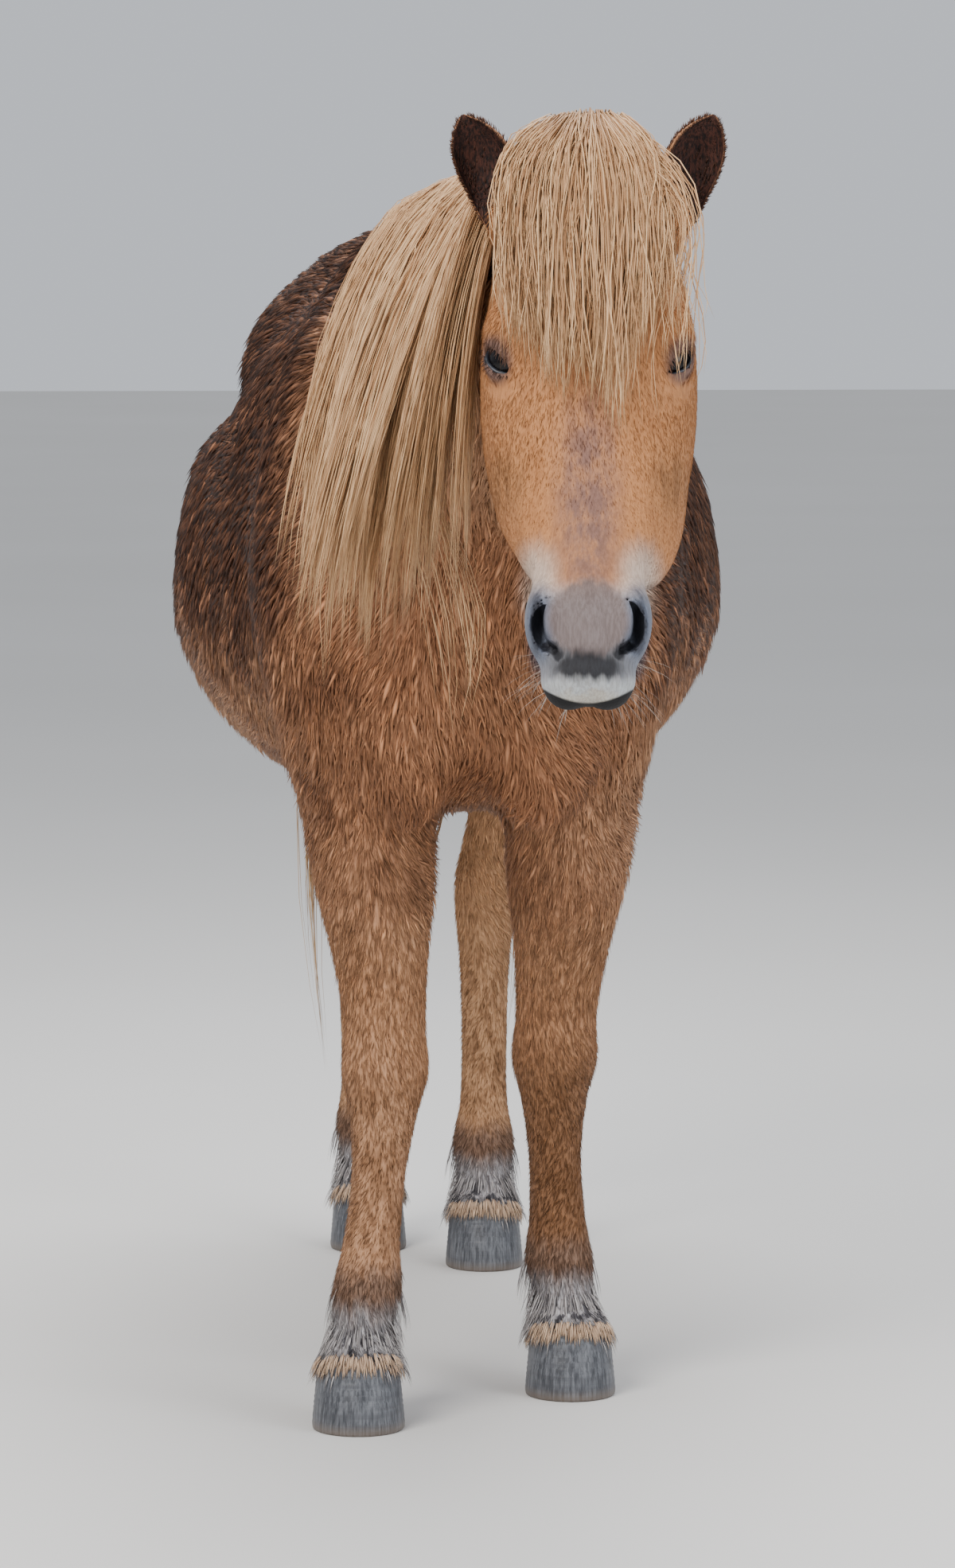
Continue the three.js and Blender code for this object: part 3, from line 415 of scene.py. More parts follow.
def coat_depth(p):
    """How far the skin lies under the tips of the coat, deeper in the flank and less on the rump."""
    along = head_coordinates(p)[2]
    body = np.interp(p[:, 2], (60, 150, 420, 620, 800), (3, 4.5, 5.5, 8, 14))
    head = np.interp(along, (-40, 60, 250, 430, 540), (12, 6, 4, 3, 1.2))
    share = head_share(p)
    hollow = 24 * np.exp(-(((p[:, 2] - 1136) / 42) ** 2) - ((p[:, 1] - 330) / 230) ** 2)
    swell = 13 * np.exp(-(((p[:, 2] - 1245) / 75) ** 2) - ((p[:, 1] - 560) / 180) ** 2)
    flank = hollow * smooth(np.abs(p[:, 0]), 150, 230) - swell * smooth(np.abs(p[:, 0]), 60, 140)
    return body * (1 - share) + head * share + flank


# Eyes, nostrils and mouth
EYE_RADIUS = 23
# Middle of each eye, its gaze, and the ways over and along its lids
EYES = {}
for name, s in (("right", -1), ("left", 1)):
    gaze = head_way(s * 0.66, 0.7, 0.24)
    over = unit(np.cross(gaze, head_way(s * 0.6, -0.25, -0.72)))
    EYES[name] = (on_head(s * 82, -48, 216), gaze, over, np.cross(over, gaze))
# Half the length and half the height of the opening between the lids
ALMOND = (20.5, 10)
MOUTH = on_head(0, -92, 520)
mouth_up = head_way(0, 1, 0.28)
MOUTH_AXES = np.array([SIDE, mouth_up, np.cross(SIDE, mouth_up)])
nostril_parts = [
    (
        ellipsoid(on_head(s * 35, -32, 511), (23, 24, 31), HEAD_AXES),
        ellipsoid(on_head(s * 29, -32, 508), (17, 60, 25), HEAD_AXES),
    )
    for s in (-1, 1)
]
mouth_slot = ellipsoid(MOUTH, (90, 3.4, 62), MOUTH_AXES)
mouth_core = ellipsoid(on_head(0, -92, 500), (38, 40, 57), MOUTH_AXES)


def almond(p, eye, grow=0.0):
    centre, gaze, over, along = eye
    d = p - centre
    a, b = d @ along, d @ over
    far = np.sqrt((a / (ALMOND[0] + grow)) ** 2 + (b / (ALMOND[1] + grow)) ** 2)
    return (far - 1) * (ALMOND[1] + grow), d @ gaze, np.linalg.norm(d, axis=1)


def face_field(p, f):
    for eye in EYES.values():
        rim, ahead, away = almond(p, eye)
        f = blend(f, away - (EYE_RADIUS + 2.2), 9)
        hollow = np.maximum(np.maximum(rim, EYE_RADIUS - 6 - away), -ahead)
        f = np.maximum(f, -hollow)
    side = np.abs(head_coordinates(p)[0])
    for hole, wing in nostril_parts:
        f = np.maximum(f, -np.maximum(np.maximum(hole(p), -wing(p)), 31 - side))
    return np.maximum(f, -np.maximum(mouth_slot(p), -mouth_core(p)))


def skin_field(p):
    f = body_field(p) + coat_depth(p)
    face = p[:, 1] < -980
    if face.any():
        f[face] = face_field(p[face], f[face])
    for foot in CORONETS.values():
        near = (np.abs(p[:, 0] - foot[0]) < 75) & (np.abs(p[:, 1] - foot[1]) < 90) & (p[:, 2] < 160)
        f[near] = np.maximum(f[near], -((p[near] - foot) @ CORONET_NORMAL + 8))
    return np.maximum(f, np.where(p[:, 1] > 840, 915 - p[:, 2], -FAR))


# Meshes
def make_piece(name, points, faces, material, replaces=()):
    """A mesh piece from points in the horse's frame and faces of one size."""
    faces = np.asarray(faces)
    mesh = bpy.data.meshes.new(name)
    mesh.vertices.add(len(points))
    mesh.vertices.foreach_set("co", in_scene(points).astype(np.float32).ravel())
    mesh.loops.add(faces.size)
    mesh.loops.foreach_set("vertex_index", faces.astype(np.int32).ravel())
    mesh.polygons.add(len(faces))
    mesh.polygons.foreach_set("loop_start", np.arange(0, faces.size, faces.shape[1], dtype=np.int32))
    mesh.update(calc_edges=True)
    mesh.validate()
    mesh.shade_smooth()
    mesh.materials.append(material)
    piece = bpy.data.objects.new(name, mesh)
    bpy.context.scene.collection.objects.link(piece)
    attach(piece, "root")
    if replaces:
        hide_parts(*replaces)
    return piece


def spans(start, *steps):
    """Grid lines from a start through pairs of an end and a spacing."""
    parts, at = [np.array([float(start)])], start
    for end, spacing in steps:
        parts.append(np.linspace(at, end, math.ceil((end - at) / spacing) + 1)[1:])
        at = end
    return np.concatenate(parts)


def in_chunks(field, p, size=200000):
    """A field's values, worked out for a part of the points at a time."""
    return np.concatenate([field(p[i : i + size]) for i in range(0, len(p), size)])


def resampled(grid, old, new, axis):
    at = np.interp(new, old, np.arange(len(old)))
    i = np.minimum(at.astype(int), len(old) - 2)
    shape = [1, 1, 1]
    shape[axis] = -1
    f = (at - i).reshape(shape).astype(np.float32)
    return np.take(grid, i, axis) * (1 - f) + np.take(grid, i + 1, axis) * f


def skin_surface():
    """The skin as points and quads: a rough grid first, then exact values near the surface."""
    rough_lines = (spans(-375, (375, 15)), spans(-1300, (1000, 15)), spans(10, (1560, 15)))
    shape = [len(line) for line in rough_lines]
    points = np.stack(np.meshgrid(*rough_lines, indexing="ij"), -1).reshape(-1, 3)
    value = in_chunks(lambda p: body_field(p) + coat_depth(p), points)
    value = value.reshape(shape).astype(np.float32)
    lines = (
        spans(-372, (-80, 11), (240, 3.7), (372, 11)),
        spans(-1290, (-1085, 3.3), (-860, 4.8), (996, 11)),
        spans(14, (860, 10), (1060, 3.3), (1550, 4.8)),
    )
    for axis in range(3):
        value = resampled(value, rough_lines[axis], lines[axis], axis)
    band = np.where(lines[1] < -940, 36, 15)[None, :, None]
    near = np.nonzero(np.abs(value) < band)
    at = np.column_stack([lines[axis][near[axis]] for axis in range(3)])
    value[near] = in_chunks(skin_field, at)
    far_low = (lines[1][None, :, None] > 840) & (lines[2][None, None, :] < 915)
    value = np.where(far_low & (value < 0), 5, value)
    value[[0, -1]] = value[:, [0, -1]] = value[:, :, [0, -1]] = 5

    inside = value < 0
    corners = [(c & 1, (c >> 1) & 1, c >> 2) for c in range(8)]
    n = [size - 1 for size in value.shape]

    def shifted(array, corner):
        x, y, z = corner
        return array[x : x + n[0], y : y + n[1], z : z + n[2]]

    count = sum(shifted(inside, corner).astype(np.int8) for corner in corners)
    cells = np.nonzero((count > 0) & (count < 8))
    index = np.full(n, -1, np.int32)
    index[cells] = np.arange(len(cells[0]))
    values = [value[cells[0] + a, cells[1] + b, cells[2] + c] for a, b, c in corners]
    places = [
        np.column_stack([lines[0][cells[0] + a], lines[1][cells[1] + b], lines[2][cells[2] + c]])
        for a, b, c in corners
    ]
    total, crossings = np.zeros((len(cells[0]), 3)), np.zeros(len(cells[0]))
    for a in range(8):
        for bit in (1, 2, 4):
            if a & bit:
                continue
            b = a | bit
            crossed = (values[a] < 0) != (values[b] < 0)
            share = np.where(crossed, values[a] / np.where(crossed, values[a] - values[b], 1), 0)
            total += np.where(crossed[:, None], places[a] + (places[b] - places[a]) * share[:, None], 0)
            crossings += crossed
    points = total / crossings[:, None]
    moved = in_chunks(lambda p: onto(skin_field, p, rounds=2, share=0.8), points, 100000)
    step = moved - points
    reach = np.linalg.norm(step, axis=1, keepdims=True)
    points = points + step * np.minimum(1, 4.0 / np.maximum(reach, 1e-6))

    quads = []
    for axis in range(3):
        u, v = [(1, 2), (2, 0), (0, 1)][axis]
        low = [slice(1, -1)] * 3
        low[axis] = slice(0, -1)
        high = list(low)
        high[axis] = slice(1, None)
        here, there = inside[tuple(low)], inside[tuple(high)]
        i, j, k = np.nonzero(here != there)
        cell = [i, j, k]
        for other in (u, v):
            cell[other] = cell[other] + 1
        outward = here[i, j, k]

        def cell_at(du, dv):
            spot = list(cell)
            spot[u] = spot[u] - du
            spot[v] = spot[v] - dv
            return index[tuple(spot)]

        ring = np.column_stack([cell_at(1, 1), cell_at(0, 1), cell_at(0, 0), cell_at(1, 0)])
        quads.append(np.where(outward[:, None], ring, ring[:, ::-1]))
    return points, np.concatenate(quads)


# Materials
def linear(*colour):
    """A screen colour, 0 to 255, in linear light."""
    lights = [((c / 255 + 0.055) / 1.055) ** 2.4 if c > 10 else c / 255 / 12.92 for c in colour]
    return [*lights, 1.0]


class Graph:
    """Short ways to add shader nodes to a tree."""

    def __init__(self, tree):
        self.tree = tree

    def outputs(self, kind, inputs=None, **settings):
        made = self.tree.nodes.new(kind)
        for key, value in settings.items():
            setattr(made, key, value)
        for key, value in (inputs or {}).items():
            if isinstance(value, bpy.types.NodeSocket):
                self.tree.links.new(value, made.inputs[key])
            else:
                made.inputs[key].default_value = value
        return made.outputs

    def node(self, kind, inputs=None, out=0, **settings):
        return self.outputs(kind, inputs, **settings)[out]

    def math(self, operation, a, b=0.0):
        return self.node("ShaderNodeMath", {0: a, 1: b}, operation=operation)

    def times(self, a, b):
        return self.math("MULTIPLY", a, b)

    def plus(self, a, b):
        return self.math("ADD", a, b)

    def vector(self, operation, a, b=(0.0, 0.0, 0.0)):
        out = 1 if operation in ("LENGTH", "DOT_PRODUCT") else 0
        return self.node("ShaderNodeVectorMath", {0: a, 1: b}, out, operation=operation)

    def split(self, vector):
        return self.outputs("ShaderNodeSeparateXYZ", {0: vector})

    def place(self):
        return self.node("ShaderNodeTexCoord", out="Object")

    def ease(self, value, low, high, start=0.0, end=1.0):
        inputs = {0: value, 1: low, 2: high, 3: start, 4: end}
        return self.node("ShaderNodeMapRange", inputs, interpolation_type="SMOOTHSTEP")

    def noise(self, vector, scale, detail=2.0, roughness=0.5):
        inputs = {"Vector": vector, "Scale": scale, "Detail": detail, "Roughness": roughness}
        return self.node("ShaderNodeTexNoise", inputs)

    def hairs(self, stretch, scale, detail=3.0, roughness=0.6):
        """Noise drawn out up and down."""
        drawn = self.vector("MULTIPLY", self.place(), (1.0, 1.0, stretch))
        return self.noise(drawn, scale, detail, roughness)

    def bump(self, strength, distance, height):
        inputs = {"Strength": strength, "Distance": distance, "Height": height}
        return self.node("ShaderNodeBump", inputs)

    def blob(self, point, centre, radii, soft):
        scaled = self.vector("DIVIDE", self.vector("SUBTRACT", point, centre), radii)
        return self.ease(self.vector("LENGTH", scaled), 1 + soft, 1 - soft)

    def mix(self, factor, a, b, blend_type="MIX"):
        inputs = {0: factor, 6: a, 7: b}
        return self.node("ShaderNodeMix", inputs, 2, data_type="RGBA", blend_type=blend_type)

    def tint(self, colour, mask, paint, strength=1.0):
        """The colour, drawn towards a paint where the mask is."""
        return self.mix(self.times(mask, strength), colour, linear(*paint))

    def scaled(self, colour, mask, factors):
        """The colour, multiplied by factors where the mask is."""
        return self.mix(mask, colour, (*factors, 1), "MULTIPLY")

    def strand(self):
        """Place along a strand, the strand's own tone, and fine hairs on it."""
        data = self.node("ShaderNodeAttribute", out="Vector", attribute_name="strand")
        across, along, tone = self.split(data)
        spot = self.node("ShaderNodeCombineXYZ", {0: across, 1: along, 2: self.times(tone, 40.0)})
        return along, tone, self.noise(spot, 1.6, 2.0)


def new_material(name):
    material = bpy.data.materials.new(name)
    material.use_nodes = True
    material.node_tree.nodes.clear()
    return material, Graph(material.node_tree)


def shade(graph, colour, roughness, specular=0.3, normal=None):
    inputs = {"Base Color": colour, "Roughness": roughness, "Specular IOR Level": specular}
    if normal is not None:
        inputs["Normal"] = normal
    shader = graph.node("ShaderNodeBsdfPrincipled", inputs)
    graph.outputs("ShaderNodeOutputMaterial", {"Surface": shader})


def colours_group():
    """The horse's coat colours from the place on its body, shared by the skin and the coat, with painted
    light and shade on the fore cannons and painted shade in the mouth crease and nostrils.
    """
    tree = bpy.data.node_groups.new("markings_and_painted_light", "ShaderNodeTree")
    for name, kind in (("Colour", "Color"), ("Wet", "Float"), ("Face", "Float")):
        tree.interface.new_socket(name, in_out="OUTPUT", socket_type="NodeSocket" + kind)
    g = Graph(tree)
    place = g.place()
    body = g.vector("MULTIPLY", g.vector("SUBTRACT", place, tuple(SHIFT)), (1000.0,) * 3)
    x, y, z = g.split(body)
    away = g.vector("SUBTRACT", body, tuple(POLL))
    side, up, along = [g.vector("DOT_PRODUCT", away, tuple(axis)) for axis in HEAD_AXES]
    past_cut = g.vector("SUBTRACT", body, tuple(HEAD_CUT))
    on_face = g.ease(g.vector("DOT_PRODUCT", past_cut, tuple(HEAD_CUT_NORMAL)), -40, 60)
    broad, middle, fine = g.noise(place, 4.0, 3.0), g.noise(place, 16.0, 3.0), g.hairs(0.25, 90.0)
    # Place down the upright face, and a ragged copy of it for the edges of its marks
    low = g.math("SUBTRACT", g.times(along, 0.955), g.times(up, 0.297))
    ragged_low = g.plus(low, g.times(g.math("SUBTRACT", fine, 0.5), 22))
    aside = g.math("ABSOLUTE", side)
    head = g.node("ShaderNodeCombineXYZ", {0: aside, 1: up, 2: along})
    front = g.node("ShaderNodeCombineXYZ", {0: aside, 2: ragged_low})

    def mark(aside, low, half_wide, half_high, soft):
        return g.blob(front, (aside, 0, low), (half_wide, 100, half_high), soft)

    colour = g.mix(g.ease(broad, 0.35, 0.65), linear(172, 125, 92), linear(192, 147, 112))
    chest = g.blob(body, (0, -560, 880), (230, 150, 260), 0.4)
    colour = g.tint(colour, chest, (174, 121, 86), 0.7)
    dark = g.times(g.ease(middle, 0.5, 0.66), g.ease(z, 1050, 800))
    colour = g.tint(colour, dark, (118, 78, 54), 0.6)
    # Wet dark coat over the back, the shoulders and the sides of the barrel
    ragged = g.times(g.plus(broad, middle), 150)
    reach = g.plus(g.plus(y, ragged), g.times(g.math("ABSOLUTE", x), 0.9))
    wet = g.times(g.ease(reach, -290, -60), g.ease(g.plus(z, ragged), 890, 1110))
    wet = g.times(wet, g.math("SUBTRACT", 1.0, on_face))
    wet = g.times(wet, g.ease(g.plus(middle, g.times(broad, 0.6)), 0.5, 0.82, 0.72, 1.0))
    colour = g.tint(colour, wet, (146, 98, 72), 0.88)
    croup = g.blob(body, (0, 640, 1330), (330, 330, 220), 0.35)
    colour = g.tint(colour, croup, (158, 118, 94), 0.5)
    # Legs
    hind = g.times(g.ease(z, 900, 700), g.ease(y, 300, 420))
    colour = g.tint(colour, hind, (196, 152, 110), 0.6)
    fore = g.times(g.ease(z, 640, 480), g.ease(y, 200, 100))
    colour = g.tint(colour, fore, (170, 124, 88), 0.7)
    # Fore cannons: the right one paler tan and partly painted light, the left one dark brown and partly
    # painted shade
    right_shin_tan_and_light = g.blob(body, (-112, -445, 270), (70, 110, 150), 0.4)
    colour = g.tint(colour, right_shin_tan_and_light, (190, 146, 112), 0.5)
    left_shin_brown_and_shade = g.blob(body, (112, -300, 280), (70, 90, 170), 0.4)
    colour = g.tint(colour, left_shin_brown_and_shade, (104, 70, 44), 0.6)
    shins = g.times(g.ease(z, 420, 360), g.ease(z, 150, 230))
    colour = g.tint(colour, shins, (112, 76, 46), g.ease(fine, 0.42, 0.62, 0.1, 0.6))
    fetlock = g.ease(g.plus(z, g.times(fine, 40)), 216, 184)
    colour = g.tint(colour, fetlock, (128, 100, 82))
    pastern = g.ease(g.plus(z, g.times(fine, 30)), 168, 132)
    colour = g.tint(colour, pastern, (176, 174, 177), 0.92)
    colour = g.tint(colour, g.ease(z, 122, 104), (48, 48, 56), g.ease(fine, 0.44, 0.56, 0.0, 0.85))
    # Face, from the forehead down
    colour = g.tint(colour, on_face, (184, 125, 78))
    forehead = g.blob(head, (0, 10, 170), (110, 60, 110), 0.5)
    colour = g.tint(colour, forehead, (190, 134, 88), 0.6)
    jaw = g.blob(head, (100, -130, 250), (70, 110, 180), 0.4)
    colour = g.tint(colour, jaw, (176, 122, 80), 0.5)
    # A darker streaky patch on each side of the face, below the eyes
    face_side_dark = mark(88, 352, 20, 30, 0.7)
    colour = g.tint(colour, face_side_dark, (130, 92, 58), g.ease(fine, 0.3, 0.6, 0.2, 0.7))
    streak = mark(0, 372, 30, 110, 0.6)
    colour = g.tint(colour, streak, (128, 96, 86), g.ease(fine, 0.3, 0.6, 0.4, 0.95))
    colour = g.tint(colour, mark(54, 448, 20, 30, 0.7), (200, 186, 174), 0.75)
    muzzle = g.ease(low, 445, 480)
    colour = g.tint(colour, muzzle, (150, 152, 158), on_face)
    nostril_rim = mark(50, 500, 17, 40, 0.4)
    colour = g.tint(colour, nostril_rim, (84, 94, 114), 0.8)
    between = mark(0, 492, 42, 40, 0.16)
    colour = g.tint(colour, between, (112, 98, 95), 0.9)
    patch = g.math("MAXIMUM", mark(0, 542, 39, 20, 0.4), mark(31, 528, 8, 8, 0.6))
    colour = g.tint(colour, patch, (20, 20, 25), 0.95)
    lips = g.times(g.ease(ragged_low, 548, 562), g.ease(up, -128, -110, 0.2, 1.0))
    colour = g.tint(colour, lips, (172, 176, 178), on_face)
    cream = g.times(mark(0, 573, 30, 7, 0.5), g.ease(up, -116, -104))
    colour = g.tint(colour, cream, (196, 184, 160), 0.45)
    chin = g.times(g.ease(up, -108, -120), g.ease(low, 556, 568))
    colour = g.tint(colour, chin, (48, 45, 49), on_face)
    # Painted shade: a near-black line along the crease between the lips
    drop = g.plus(low, g.times(g.times(side, side), 0.0068))
    mouth_crease_shade = g.times(g.ease(drop, 575.5, 578.5), g.ease(up, -142, -126))
    colour = g.tint(colour, mouth_crease_shade, (10, 9, 12), on_face)
    round_eye = g.blob(head, (96, -32, 221), (20, 24, 26), 0.3)
    colour = g.tint(colour, round_eye, (70, 66, 74), 0.75)
    # The nostril openings painted near-black: their dark lining, and painted shade inside them
    nostril = g.math("MAXIMUM", mark(52, 497, 7, 28, 0.4), mark(40, 520, 11, 6, 0.5))
    colour = g.tint(colour, nostril, (30, 30, 38), 0.9)
    colour = g.scaled(colour, g.ease(fine, 0.35, 0.7, 0.0, 0.3), (0.6, 0.52, 0.48))
    g.outputs("NodeGroupOutput", {"Colour": colour, "Wet": wet, "Face": on_face})
    return tree


MARKINGS_AND_PAINTED_LIGHT = colours_group()


def marked_material(name):
    material, g = new_material(name)
    return material, g, g.outputs("ShaderNodeGroup", node_tree=MARKINGS_AND_PAINTED_LIGHT)


def skin_material():
    material, g, marks = marked_material("skin")
    hairs = g.hairs(0.16, 420.0)
    colour = g.scaled(marks["Colour"], g.ease(hairs, 0.35, 0.65, 0.0, 0.5), (0.55, 0.5, 0.46))
    shade(g, colour, 0.75, normal=g.bump(0.35, 0.002, hairs))
    return material


def coat_material():
    """Coat: the shared coat colours, painted light and shade among them, with each tuft's own tone and fine
    hairs along it.
    """
    material, g, marks = marked_material("coat")
    along, tone, hairs = g.strand()
    colour = g.scaled(marks["Colour"], g.ease(tone, 0.5, 1.0, 0.0, 0.8), (1.75, 1.7, 1.6))
    dim = g.times(g.ease(tone, 0.5, 0.0, 0.0, 0.8), g.ease(marks["Face"], 0.0, 1.0, 1.0, 0.5))
    colour = g.scaled(colour, dim, (0.36, 0.32, 0.3))
    wet = g.times(marks["Wet"], g.ease(along, 0.1, 0.9, 0.45, 0.95))
    colour = g.tint(colour, wet, (46, 26, 18), g.ease(tone, 0.8, 0.4, 0.1, 1.0))
    colour = g.scaled(colour, g.ease(along, 0.5, 0.0, 0.0, 0.5), (0.5, 0.45, 0.42))
    colour = g.scaled(colour, g.ease(hairs, 0.4, 0.7, 0.0, 0.5), (0.45, 0.4, 0.38))
    shade(g, colour, 0.6, specular=0.16)
    return material


def hair_material(name, light, deep, root):
    """Long hair: each strand has its own tone between deep and light, over darker roots."""
    material, g = new_material(name)
    along, tone, hairs = g.strand()
    colour = g.mix(tone, linear(*deep), linear(*light))
    colour = g.tint(colour, g.ease(along, 0.2, 0.0, 0.0, 0.5), root)
    colour = g.tint(colour, g.ease(hairs, 0.45, 0.75, 0.0, 0.5), root)
    shade(g, colour, 0.5, specular=0.25)
    return material


COAT = coat_material()
MANE = hair_material("mane_hair", (230, 190, 144), (170, 124, 84), (124, 86, 56))
TAIL = hair_material("tail_hair", (214, 178, 130), (150, 108, 72), (96, 66, 44))
FEATHER = hair_material("feather_hair", (188, 182, 180), (60, 56, 58), (100, 94, 92))
FRINGE = hair_material("fringe_hair", (216, 186, 156), (158, 130, 108), (122, 100, 86))
DARK_HAIR = hair_material("dark_hair", (96, 62, 44), (40, 26, 20), (30, 20, 16))
WHISKER = hair_material("whisker_hair", (220, 205, 190), (150, 135, 125), (120, 105, 95))

# One skin in place of all the flesh
FLESH = ["torso", "neck", "head", "fore_right", "fore_left", "hind_right", "hind_left", "tail"]
skin_points, skin_quads = skin_surface()
make_piece("skin", skin_points, skin_quads, skin_material(), FLESH)

# Tufts and strands: three-sided tapered ribbons that end in a point
UV_PATCH = 0.003


def turn(aside, up):
    """Share of a turn, 0 to 1, from two distances off an axis."""
    return np.arctan2(aside, up) / (2 * math.pi) + 0.5


def unwrap(p):
    """Place of each root on a flat unwrap of the skin, with a chart for each part of the body."""
    uv = np.column_stack([turn(p[:, 0], p[:, 2] - 950), (p[:, 1] + 640) / 1640]) * 0.58 + 0.01
    place = (p - NECK_BASE) @ NECK_AXIS
    on_neck = (place > 60) & ((p - np.array([0, -430, 1170])) @ unit((0, -0.84, 0.54)) > 0)
    round_neck = turn(p[:, 0], (p - NECK_BASE) @ NECK_UP)
    uv[on_neck] = np.column_stack([round_neck * 0.36 + 0.62, place / 720 * 0.28 + 0.01])[on_neck]
    on_face = (p - HEAD_CUT) @ HEAD_CUT_NORMAL > 0
    side, up, along = head_coordinates(p)
    round_head = turn(side, up + 80)
    uv[on_face] = np.column_stack([round_head * 0.36 + 0.62, (along + 60) / 680 * 0.28 + 0.32])[on_face]
    for i, (name, joints) in enumerate(JOINTS.items()):
        fore, right = name.startswith("fore"), name.endswith("right")
        on_leg = (p[:, 2] < (664 if fore else 700)) & ((p[:, 1] < 100) == fore) & ((p[:, 0] < 0) == right)
        middle = rows_at(joints, p[:, 2])
        round_leg = turn(p[:, 0] - middle[:, 1], p[:, 1] - middle[:, 2])
        chart = np.column_stack([round_leg * 0.23 + 0.01 + 0.245 * i, p[:, 2] / 720 * 0.34 + 0.63])
        uv[on_leg] = chart[on_leg]
    return np.clip(uv, 0.004, 0.996)


def ribbons(paths, across, lift, widths, thick, tone):
    """Points, triangles and strand data. paths is (n, rings + 1, 3) and ends at the tips."""
    n, rings = paths.shape[0], paths.shape[1] - 1
    body, half = paths[:, :-1], widths[..., None] / 2
    corners = [body + across * half, body + lift * thick[..., None], body - across * half]
    sections = np.stack(corners, axis=2).reshape(n, rings * 3, 3)
    points = np.concatenate([sections, paths[:, -1:]], axis=1)
    pattern = [[0, 1, 2]]
    for r in range(rings - 1):
        for c in range(3):
            a, b = r * 3 + c, r * 3 + (c + 1) % 3
            pattern += [[a, a + 3, b], [b, a + 3, b + 3]]
    last = rings * 3
    pattern += [[last - 3 + c, last, last - 3 + (c + 1) % 3] for c in range(3)]
    pattern, one = np.array(pattern), points[0]
    if sum(np.dot(one[a], np.cross(one[b], one[c])) for a, b, c in pattern) < 0:
        pattern = pattern[:, ::-1]
    count = points.shape[1]
    faces = (np.arange(n)[:, None, None] * count + pattern[None]).reshape(-1, 3)
    spread = np.stack([widths / 2, np.zeros_like(widths), -widths / 2], axis=2).reshape(n, rings * 3)
    spread = np.concatenate([spread, np.zeros((n, 1))], axis=1) + RNG.random((n, 1)) * 60
    way = np.broadcast_to(np.append(np.repeat(np.arange(rings) / rings, 3), 1.0), (n, count))
    data = np.stack([spread, way, np.broadcast_to(tone[:, None], (n, count))], axis=2)
    sign = np.append(np.tile([-0.5, 0.0, 0.5], rings), 0.0)
    offset = np.stack([np.broadcast_to(sign, (n, count)), way - 0.5], axis=2) * UV_PATCH
    return points, faces, data, offset


def add_hair(name, parts, roots, material):
    points, faces, data, offset = parts
    mesh = make_piece(name, points.reshape(-1, 3), faces, material).data
    strand = mesh.attributes.new("strand", "FLOAT_VECTOR", "POINT")
    strand.data.foreach_set("vector", data.astype(np.float32).ravel())
    uv = (unwrap(roots)[:, None, :] + offset).reshape(-1, 2)
    vertex = np.zeros(len(mesh.loops), np.int32)
    mesh.loops.foreach_get("vertex_index", vertex)
    layer = mesh.uv_layers.new(name="OFBake")
    layer.data.foreach_set("uv", uv[vertex].astype(np.float32).ravel())


def arcs(root, start, end, length, rings):
    """Paths that leave a root along start and bend over to end."""
    t = np.linspace(0, 1, rings + 1)[None, :, None]
    reach = length[:, None, None]
    return root[:, None] + reach * (start[:, None] * (t - t * t / 2) + end[:, None] * t * t / 2)


def tones(middle, spread, count):
    return np.clip(RNG.normal(middle, spread, count), 0, 1)


class Hairs:
    """Short hairs, gathered for one piece."""

    def __init__(self):
        self.parts, self.roots = [], []

    def grow(self, root, sink, start, end, length, width, taper, across, lift, thick, tone):
        """Hairs from their roots, sunk a little, along start and over to end."""
        rings = len(taper)
        widths = np.multiply.outer(width, taper)
        sides = [np.repeat(v[:, None], rings, axis=1) for v in (across, lift)]
        paths = arcs(root - sink, start, end, length, rings)
        self.parts.append((paths, *sides, widths, widths * thick, tone))
        self.roots.append(root)

    def piece(self, name, material, slot="coat"):
        parts = ribbons(*[np.concatenate(part) for part in zip(*self.parts)])
        add_hair(name, parts, np.concatenate(self.roots), material)


# Short coat
def lie_of_coat(p, normal):
    """The way each tuft lies: back and down on the body, down the legs and down the face."""
    side = head_coordinates(p)[0]
    body = vectors(0, np.full(len(p), 0.62), -0.8)
    low = 1 - smooth(p[:, 2], 560, 760)
    body[:, 1] = body[:, 1] * (1 - low) + 0.16 * low
    on_neck = smooth(-p[:, 1], 520, 700) * smooth(p[:, 2], 900, 1050)
    body[:, 1] = body[:, 1] * (1 - on_neck) + 0.25 * on_neck
    face = ALONG + SIDE * (0.5 * np.sign(side) * smooth(np.abs(side), 8, 70))[:, None]
    share = head_share(p)[:, None]
    way = unit(body) * (1 - share) + unit(face) * share
    swirl = 0.3 * np.sin(p[:, 0] / 41 + p[:, 2] / 53) + 0.25 * np.sin(p[:, 1] / 37 - p[:, 2] / 71)
    swirl = swirl * (1 - 0.6 * share[:, 0]) + RNG.normal(0, 0.2, len(p))
    way = unit(way - normal * np.sum(way * normal, axis=1, keepdims=True))
    across = np.cross(way, normal)
    return way * np.cos(swirl)[:, None] + across * np.sin(swirl)[:, None]


